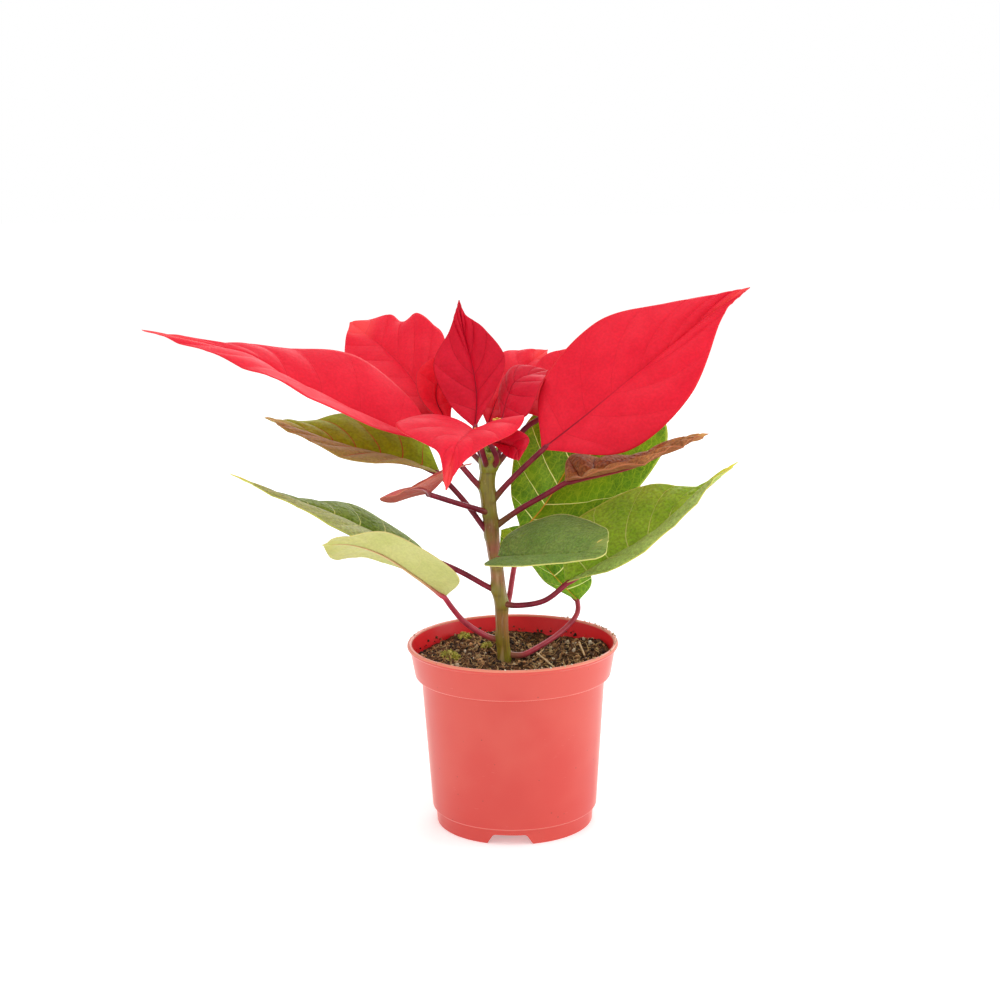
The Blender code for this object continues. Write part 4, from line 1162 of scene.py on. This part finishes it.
def pot():
    """The turned wall less its notches and drain holes, with three materials by where a face lies."""
    profile = split_long(rounded(pot_profile(), CORNER_ROUND), LONGEST_EDGE)
    whole = link("pot_whole", turned("pot_whole", profile, TURN_STEPS))
    cutters = [link("notches", notch_mesh()), link("drains", drain_mesh())]
    for tool in cutters:
        change = whole.modifiers.new(tool.name, "BOOLEAN")
        change.operation, change.object, change.solver = "DIFFERENCE", tool, "EXACT"
    mesh = bpy.data.meshes.new_from_object(whole.evaluated_get(bpy.context.evaluated_depsgraph_get()))
    for gone in [whole] + cutters:
        bpy.data.objects.remove(gone)
    mesh.name = "pot_plastic"
    mesh.polygons.foreach_set("use_smooth", np.ones(len(mesh.polygons), bool))
    mesh.set_sharp_from_angle(angle=math.radians(SHARP_DEGREES))
    new_piece("pot_plastic", mesh, [POT_OUT, POT_IN, POT_LIP], "pot")
    centre, normal = (face_values(mesh, "center") - POT_AXIS) / MM, face_values(mesh, "normal")
    # Inward faces take the copy painted as in shade, and the lip's top the copy painted as lit.
    inward = np.einsum("ij,ij->i", unit(centre[:, :2]), normal[:, :2]) < -0.3
    index = np.where(inward & (centre[:, 2] > FLOOR_Z + 1), 1, 0)
    index = np.where(centre[:, 2] > POT_HEIGHT - 1.1, 2, index)
    mesh.polygons.foreach_set("material_index", index)


pot()

# %% [markdown]
# ## The soil
#
# Peat is a heap of brown crumbs with tan fibres, pale chips, some moss and a few straws. The ground has one
# rough material, and the small things on it share one that picks each copy's colour from a short row.
# %% Soil material


def soil_material():
    """Dark brown peat: clods of three browns, with a strong bump."""
    material, _, shader, place = new_material("peat_ground")
    coarse, fine = noise(place, 240.0, 5.0, 0.7), noise(place, 1100.0, 4.0, 0.7)
    colour = mix(ramp(coarse, 0.35, 0.65), linear("2e1d12"), linear("704c30"))
    colour = mix(ramp(fine, 0.56, 0.74, 0.0, 0.8), colour, linear("ba986a"))
    plug(shader, {"Base Color": colour, "Roughness": 0.92, "Specular IOR Level": 0.2})
    bump(shader, plus(coarse, times(fine, 0.6)), 0.9, 0.0015)
    return material


def shade_material(name, stops, roughness):
    """One colour for each little copy: its value "shade", from 0 to 1, picks from the stops."""
    material, tree, shader, place = new_material(name)
    colour = colour_band(attribute(tree, "shade"), dict(zip(np.linspace(0, 1, len(stops)).tolist(), stops)))
    dirt = ramp(noise(place, 1500.0), 0.4, 0.7, 0.0, 0.35)
    plug(shader, {"Base Color": mix(dirt, colour, linear("281c14")), "Roughness": roughness})
    return material


PEAT = soil_material()
CRUMB = shade_material("peat_crumbs", ["20140c", "382416", "5c3e26", "86603c", "d6a470"], 0.95)
CHIP = shade_material("pale_chips", ["a88c64", "c6ac84", "e8dac4"], 0.8)
FIBRE = shade_material("peat_fibres", ["784e2e", "c4945c", "eaca90"], 0.8)
MOSS = shade_material("moss", ["747416", "a8a432", "d4cc64"], 0.8)
STRAW = shade_material("straw", ["d6b078", "ecce9a"], 0.6)
# %% [markdown]
# The ground is a round grid whose height is the CAD's own mounds plus lumps of three finer sizes. A displaced
# disc would look the same, but this height is also what the crumbs and fibres are set on.
# %% Build the ground
SOIL_TOP = 83.6
SOIL_SEED = 5


def soil_height(x, y):
    """Height of the peat: a gentle mound, a hollow at the back right and seeded lumps."""
    draw = np.random.default_rng(SOIL_SEED)
    height = SOIL_TOP + 0.6 * np.sin(x / 9.0) * np.cos(y / 7.0)
    height = height - 3.2 * np.exp(-((x - 3) ** 2 + y**2) / 110.0)
    height = height - 5.0 * np.exp(-((x - 14) ** 2 + (y - 34) ** 2) / 130.0)
    height = height + 3.0 * np.exp(-((x - 44) ** 2 + (y - 8) ** 2) / 170.0)
    for at_x, at_y, high, wide in draw.uniform((-42, -42, -1.0, 3.5), (42, 42, 2.0, 7.0), (46, 4)):
        height = height + high * np.exp(-((x - at_x) ** 2 + (y - at_y) ** 2) / wide**2)
    return height


GROUND_RINGS, GROUND_AROUND = 96, 320


def lattice_noise(x, y, cell, seed):
    """Smooth noise: seeded random values on a square lattice, blended with a smooth step in between."""
    table = np.random.default_rng(seed).uniform(-1, 1, (64, 64))
    u, v = x / cell + 32, y / cell + 32
    i, j = np.floor(u).astype(int), np.floor(v).astype(int)
    f, g = u - i, v - j
    f, g = f * f * (3 - 2 * f), g * g * (3 - 2 * g)
    a, b, c, d = (table[(i + p) % 64, (j + q) % 64] for p, q in ((0, 0), (1, 0), (0, 1), (1, 1)))
    return (a * (1 - f) + b * f) * (1 - g) + (c * (1 - f) + d * f) * g


def ground_height(x, y):
    """The CAD's soil height plus lumps of 5, 2.3 and 1.1 millimetres."""
    rough = 0.55 * lattice_noise(x, y, 5.0, 1) + 0.5 * lattice_noise(x, y, 2.3, 2)
    return soil_height(x, y) + rough + 0.35 * lattice_noise(x, y, 1.1, 3)


def ground():
    """The peat as one closed body: the fine top, then straight down the wall and in to the middle of its
    underside."""
    out = circle(GROUND_AROUND)[1][:, :2]
    edge = inner_radius(SOIL_TOP - 2) - 0.3
    rings = []
    for radius in edge * np.sqrt(np.linspace(0, 1, GROUND_RINGS)):
        flat = out * radius
        rings.append(np.column_stack([flat, np.maximum(ground_height(*flat.T), BAND_LOW_Z + 2.4)]))
    for radius, level in ((inner_radius(BAND_LOW_Z - 1.6) - 0.3, BAND_LOW_Z - 2),
                          (inner_radius(FLOOR_Z + 3) - 0.3, FLOOR_Z + 3), (0, FLOOR_Z + 2)):
        rings.append(np.column_stack([out * radius, np.full(GROUND_AROUND, float(level))]))
    rings = np.array(rings)
    mesh = new_mesh("peat", rings.reshape(-1, 3), grid_faces(*rings.shape[:2], around=True)[:, ::-1])
    weld(mesh)
    new_piece("peat_ground", mesh, [PEAT], "soil")


ground()
# %% [markdown]
# Crumbs lie on the peat, a few stick to the pot's inner wall and lip, and the moss sits in three small heaps.
# A particle system could scatter them, but its copies aren't exported. Here each kind is one mesh, made of
# copies of a tiny ball that are turned and scaled at random from a fixed seed: every run gives the same soil.
# %% Crumbs, chips and moss heaps


def turns(draw, count):
    """Random rotation matrices from random unit quaternions."""
    w, x, y, z = unit(draw.normal(size=(count, 4))).T
    return np.stack([
        np.stack([1 - 2 * (y * y + z * z), 2 * (x * y - z * w), 2 * (x * z + y * w)], -1),
        np.stack([2 * (x * y + z * w), 1 - 2 * (x * x + z * z), 2 * (y * z - x * w)], -1),
        np.stack([2 * (x * z - y * w), 2 * (y * z + x * w), 1 - 2 * (x * x + y * y)], -1)], 1)


def ball():
    """A low icosphere's points and triangles."""
    edit = bmesh.new()
    bmesh.ops.create_icosphere(edit, subdivisions=1, radius=1.0)
    edit.verts.ensure_lookup_table()
    points = np.array([v.co[:] for v in edit.verts])
    faces = np.array([[v.index for v in f.verts] for f in edit.faces])
    edit.free()
    return points, faces


def scatter(draw, count, edge, clear=5.5):
    """Random places on the soil within edge of the axis and off the stem."""
    radius, angle = edge * np.sqrt(draw.uniform(0, 1, count * 2)), draw.uniform(0, 2 * np.pi, count * 2)
    x, y = radius * np.cos(angle), radius * np.sin(angle)
    keep = (x - STEM_PATH[2][0]) ** 2 + (y - STEM_PATH[2][1]) ** 2 > clear**2
    return x[keep][:count], y[keep][:count]


def lumps(name, seed, small, large, material, places, sink=0.25):
    """Knobbly little balls: each copy's points are pushed in or out at random, squashed, turned and set at
    its (x, y, z) place, sunk by part of its size. The seed may be a generator that has drawn the places."""
    draw = np.random.default_rng(seed)
    base, faces = ball()
    count = len(places)
    size = small * (large / small) ** draw.power(0.6, count)
    form = base[None] * draw.uniform(0.7, 1.25, (count, len(base), 1)) * draw.uniform(0.6, 1.2, (count, 1, 3))
    points = np.einsum("nij,nkj->nki", turns(draw, count), form) * size[:, None, None]
    points = points + places[:, None] + (size * (0.6 - sink))[:, None, None] * (0, 0, 1)
    every = faces[None] + (np.arange(count) * len(base))[:, None, None]
    shade = np.repeat(draw.uniform(0, 1, count), len(base))
    mesh = new_mesh(name, points.reshape(-1, 3), every.reshape(-1, 3), {"shade": shade})
    new_piece(name, mesh, [material])


def on_ground(draw, count):
    """Random (x, y, z) places on the soil."""
    x, y = scatter(draw, count, inner_radius(SOIL_TOP) - GROUND_MARGIN)
    return np.stack([x, y, ground_height(x, y)], -1)


def on_wall(seed, count, low, high, start, end):
    """Places on the pot's inner wall between two heights and two angles in degrees."""
    draw = np.random.default_rng(seed)
    angle, level = np.radians(draw.uniform(start, end, count)), draw.uniform(low, high, count)
    radius = np.array([inner_radius(z) for z in level]) - 0.25
    return np.stack([radius * np.cos(angle), radius * np.sin(angle), level], -1)


def on_rim(seed, count, start, end):
    """Places on top of the pot's lip between two angles in degrees."""
    draw = np.random.default_rng(seed)
    angle, radius = np.radians(draw.uniform(start, end, count)), LIP_RADIUS - draw.uniform(0.4, 1.8, count)
    return np.stack([radius * np.cos(angle), radius * np.sin(angle), np.full(count, POT_HEIGHT - 0.1)], -1)


def heap(at_x, at_y, wide, tall, count, seed):
    """Places in a small round heap on the soil."""
    draw = np.random.default_rng(seed)
    radius, angle = wide * np.sqrt(draw.uniform(0, 1, count)), draw.uniform(0, 2 * np.pi, count)
    x, y = at_x + radius * np.cos(angle), at_y + radius * np.sin(angle)
    return np.stack([x, y, ground_height(x, y) + tall * (1 - (radius / wide) ** 2)], -1)


# Each moss heap's middle, radius, height and count of lumps
MOSS_SPOTS = [(-31.0, -1.0, 5.0, 2.2, 110), (-25.0, 33.0, 3.6, 2.0, 60), (-13.0, 15.0, 2.6, 1.2, 30)]
GROUND_MARGIN = 2.2
crumb_draw, chip_draw = np.random.default_rng(21), np.random.default_rng(22)
lumps("peat_crumbs", crumb_draw, 0.3, 1.4, CRUMB, on_ground(crumb_draw, 2100))
lumps("peat_chips", chip_draw, 0.35, 1.3, CHIP, on_ground(chip_draw, 190), sink=0.05)
lumps("wall_crumbs", 23, 0.2, 0.8, CRUMB, on_wall(51, 70, SOIL_TOP, POT_HEIGHT - 6.0, 10, 190))
rim_places = np.vstack([on_rim(52, 60, -10, 60), on_rim(53, 45, 150, 340)])
lumps("rim_crumbs", 24, 0.2, 0.6, CHIP, rim_places)
moss_places = np.vstack([heap(*spot, seed) for seed, spot in enumerate(MOSS_SPOTS)])
lumps("moss_heaps", 25, 0.5, 1.1, MOSS, moss_places)
# %% [markdown]
# Fibres, root threads, moss leaves and straws are all thin tubes along short lines, so one function makes
# each kind as a single mesh. They give the peat its rough, woven look, which round crumbs alone don't have.
# %% Fibres, moss and straws


def strands(name, lines, radii, shade, material, sides=5):
    """Thin tubes along many lines as one mesh."""
    rings = [closed_rings(tube(line, radius, sides)) for line, radius in zip(lines, radii)]
    rows = rings[0].shape[0]
    faces = grid_faces(rows, sides, around=True)
    every = faces[None] + (np.arange(len(rings)) * rows * sides)[:, None, None]
    mesh = new_mesh(name, np.concatenate([r.reshape(-1, 3) for r in rings]), every.reshape(-1, 4),
                    {"shade": np.repeat(shade, rows * sides)})
    weld(mesh, 0.000001)
    new_piece(name, mesh, [material])


def fibres(name, seed, count, inset, length, lift, thick, curl):
    """Curled fibres: each lies on the ground and one of its ends lifts off. The last four arguments are the
    least and the greatest value in millimetres, and for curl in radians."""
    draw = np.random.default_rng(seed)
    x, y = scatter(draw, count, inner_radius(SOIL_TOP) - inset)
    s = np.linspace(-1, 1, 11)
    lines, radii = [], []
    for at_x, at_y in zip(x, y):
        heading, bend = draw.uniform(0, 2 * np.pi), draw.uniform(*curl) * draw.choice([-1, 1])
        angle = heading + bend * s
        step = np.stack([np.cos(angle), np.sin(angle)], -1) * draw.uniform(*length) / 10
        flat = np.cumsum(step, 0) + (at_x, at_y) - step.sum(0) / 2
        high = ground_height(*flat.T) + 0.35 + draw.uniform(*lift) * np.maximum(s, 0) ** 2
        lines.append(np.column_stack([flat, high]))
        radii.append(draw.uniform(*thick) * (1 - 0.6 * np.abs(s) ** 2))
    strands(name, lines, radii, draw.uniform(0, 1, len(lines)), FIBRE)


fibres("peat_fibres", 31, 640, 4.5, (1.8, 6.0), (0.2, 2.0), (0.12, 0.28), (0.0, 1.8))
fibres("root_curls", 33, 46, 7.0, (5.0, 12.0), (1.5, 6.5), (0.12, 0.26), (0.8, 2.6))


def moss():
    """Tufts of short pointed leaves on the moss heaps."""
    draw = np.random.default_rng(41)
    lines, radii = [], []
    for seed, spot in enumerate(MOSS_SPOTS):
        for foot in heap(*spot, seed + 10):
            lean = draw.uniform(-1, 1, 2)
            t = np.linspace(0, 1, 5)[:, None]
            tall = draw.uniform(0.8, 1.8)
            lines.append(np.column_stack([foot[:2] + lean * t**1.5 * tall, foot[2] + tall * t]))
            radii.append(0.26 * np.sin(np.pi * np.linspace(0.25, 0.97, 5)))
    strands("moss_tufts", lines, radii, draw.uniform(0, 1, len(lines)), MOSS, 4)


moss()

# Start and end of each straw on the soil, its radius and its shade
STRAWS = [((35.5, -7.0), (33.5, 14.0), 0.5, 0.2), ((20.0, -23.0), (12.0, -1.0), 0.42, 0.8),
          ((12.0, -1.0), (15.5, 7.0), 0.34, 0.5), ((-36, -17), (-28, -25), 0.3, 0.6)]


def straws():
    """A few dry straws lying on the soil, each lifted a little at its far end."""
    lines, radii = [], []
    for start, end, radius, _ in STRAWS:
        flat = np.linspace(start, end, 9)
        high = ground_height(*flat.T).max() + 0.7
        lines.append(np.column_stack([flat, np.linspace(high, high + 0.8, 9)]))
        radii.append(np.full(9, radius))
    strands("straws", lines, radii, [shade for *_, shade in STRAWS], STRAW, 8)


straws()
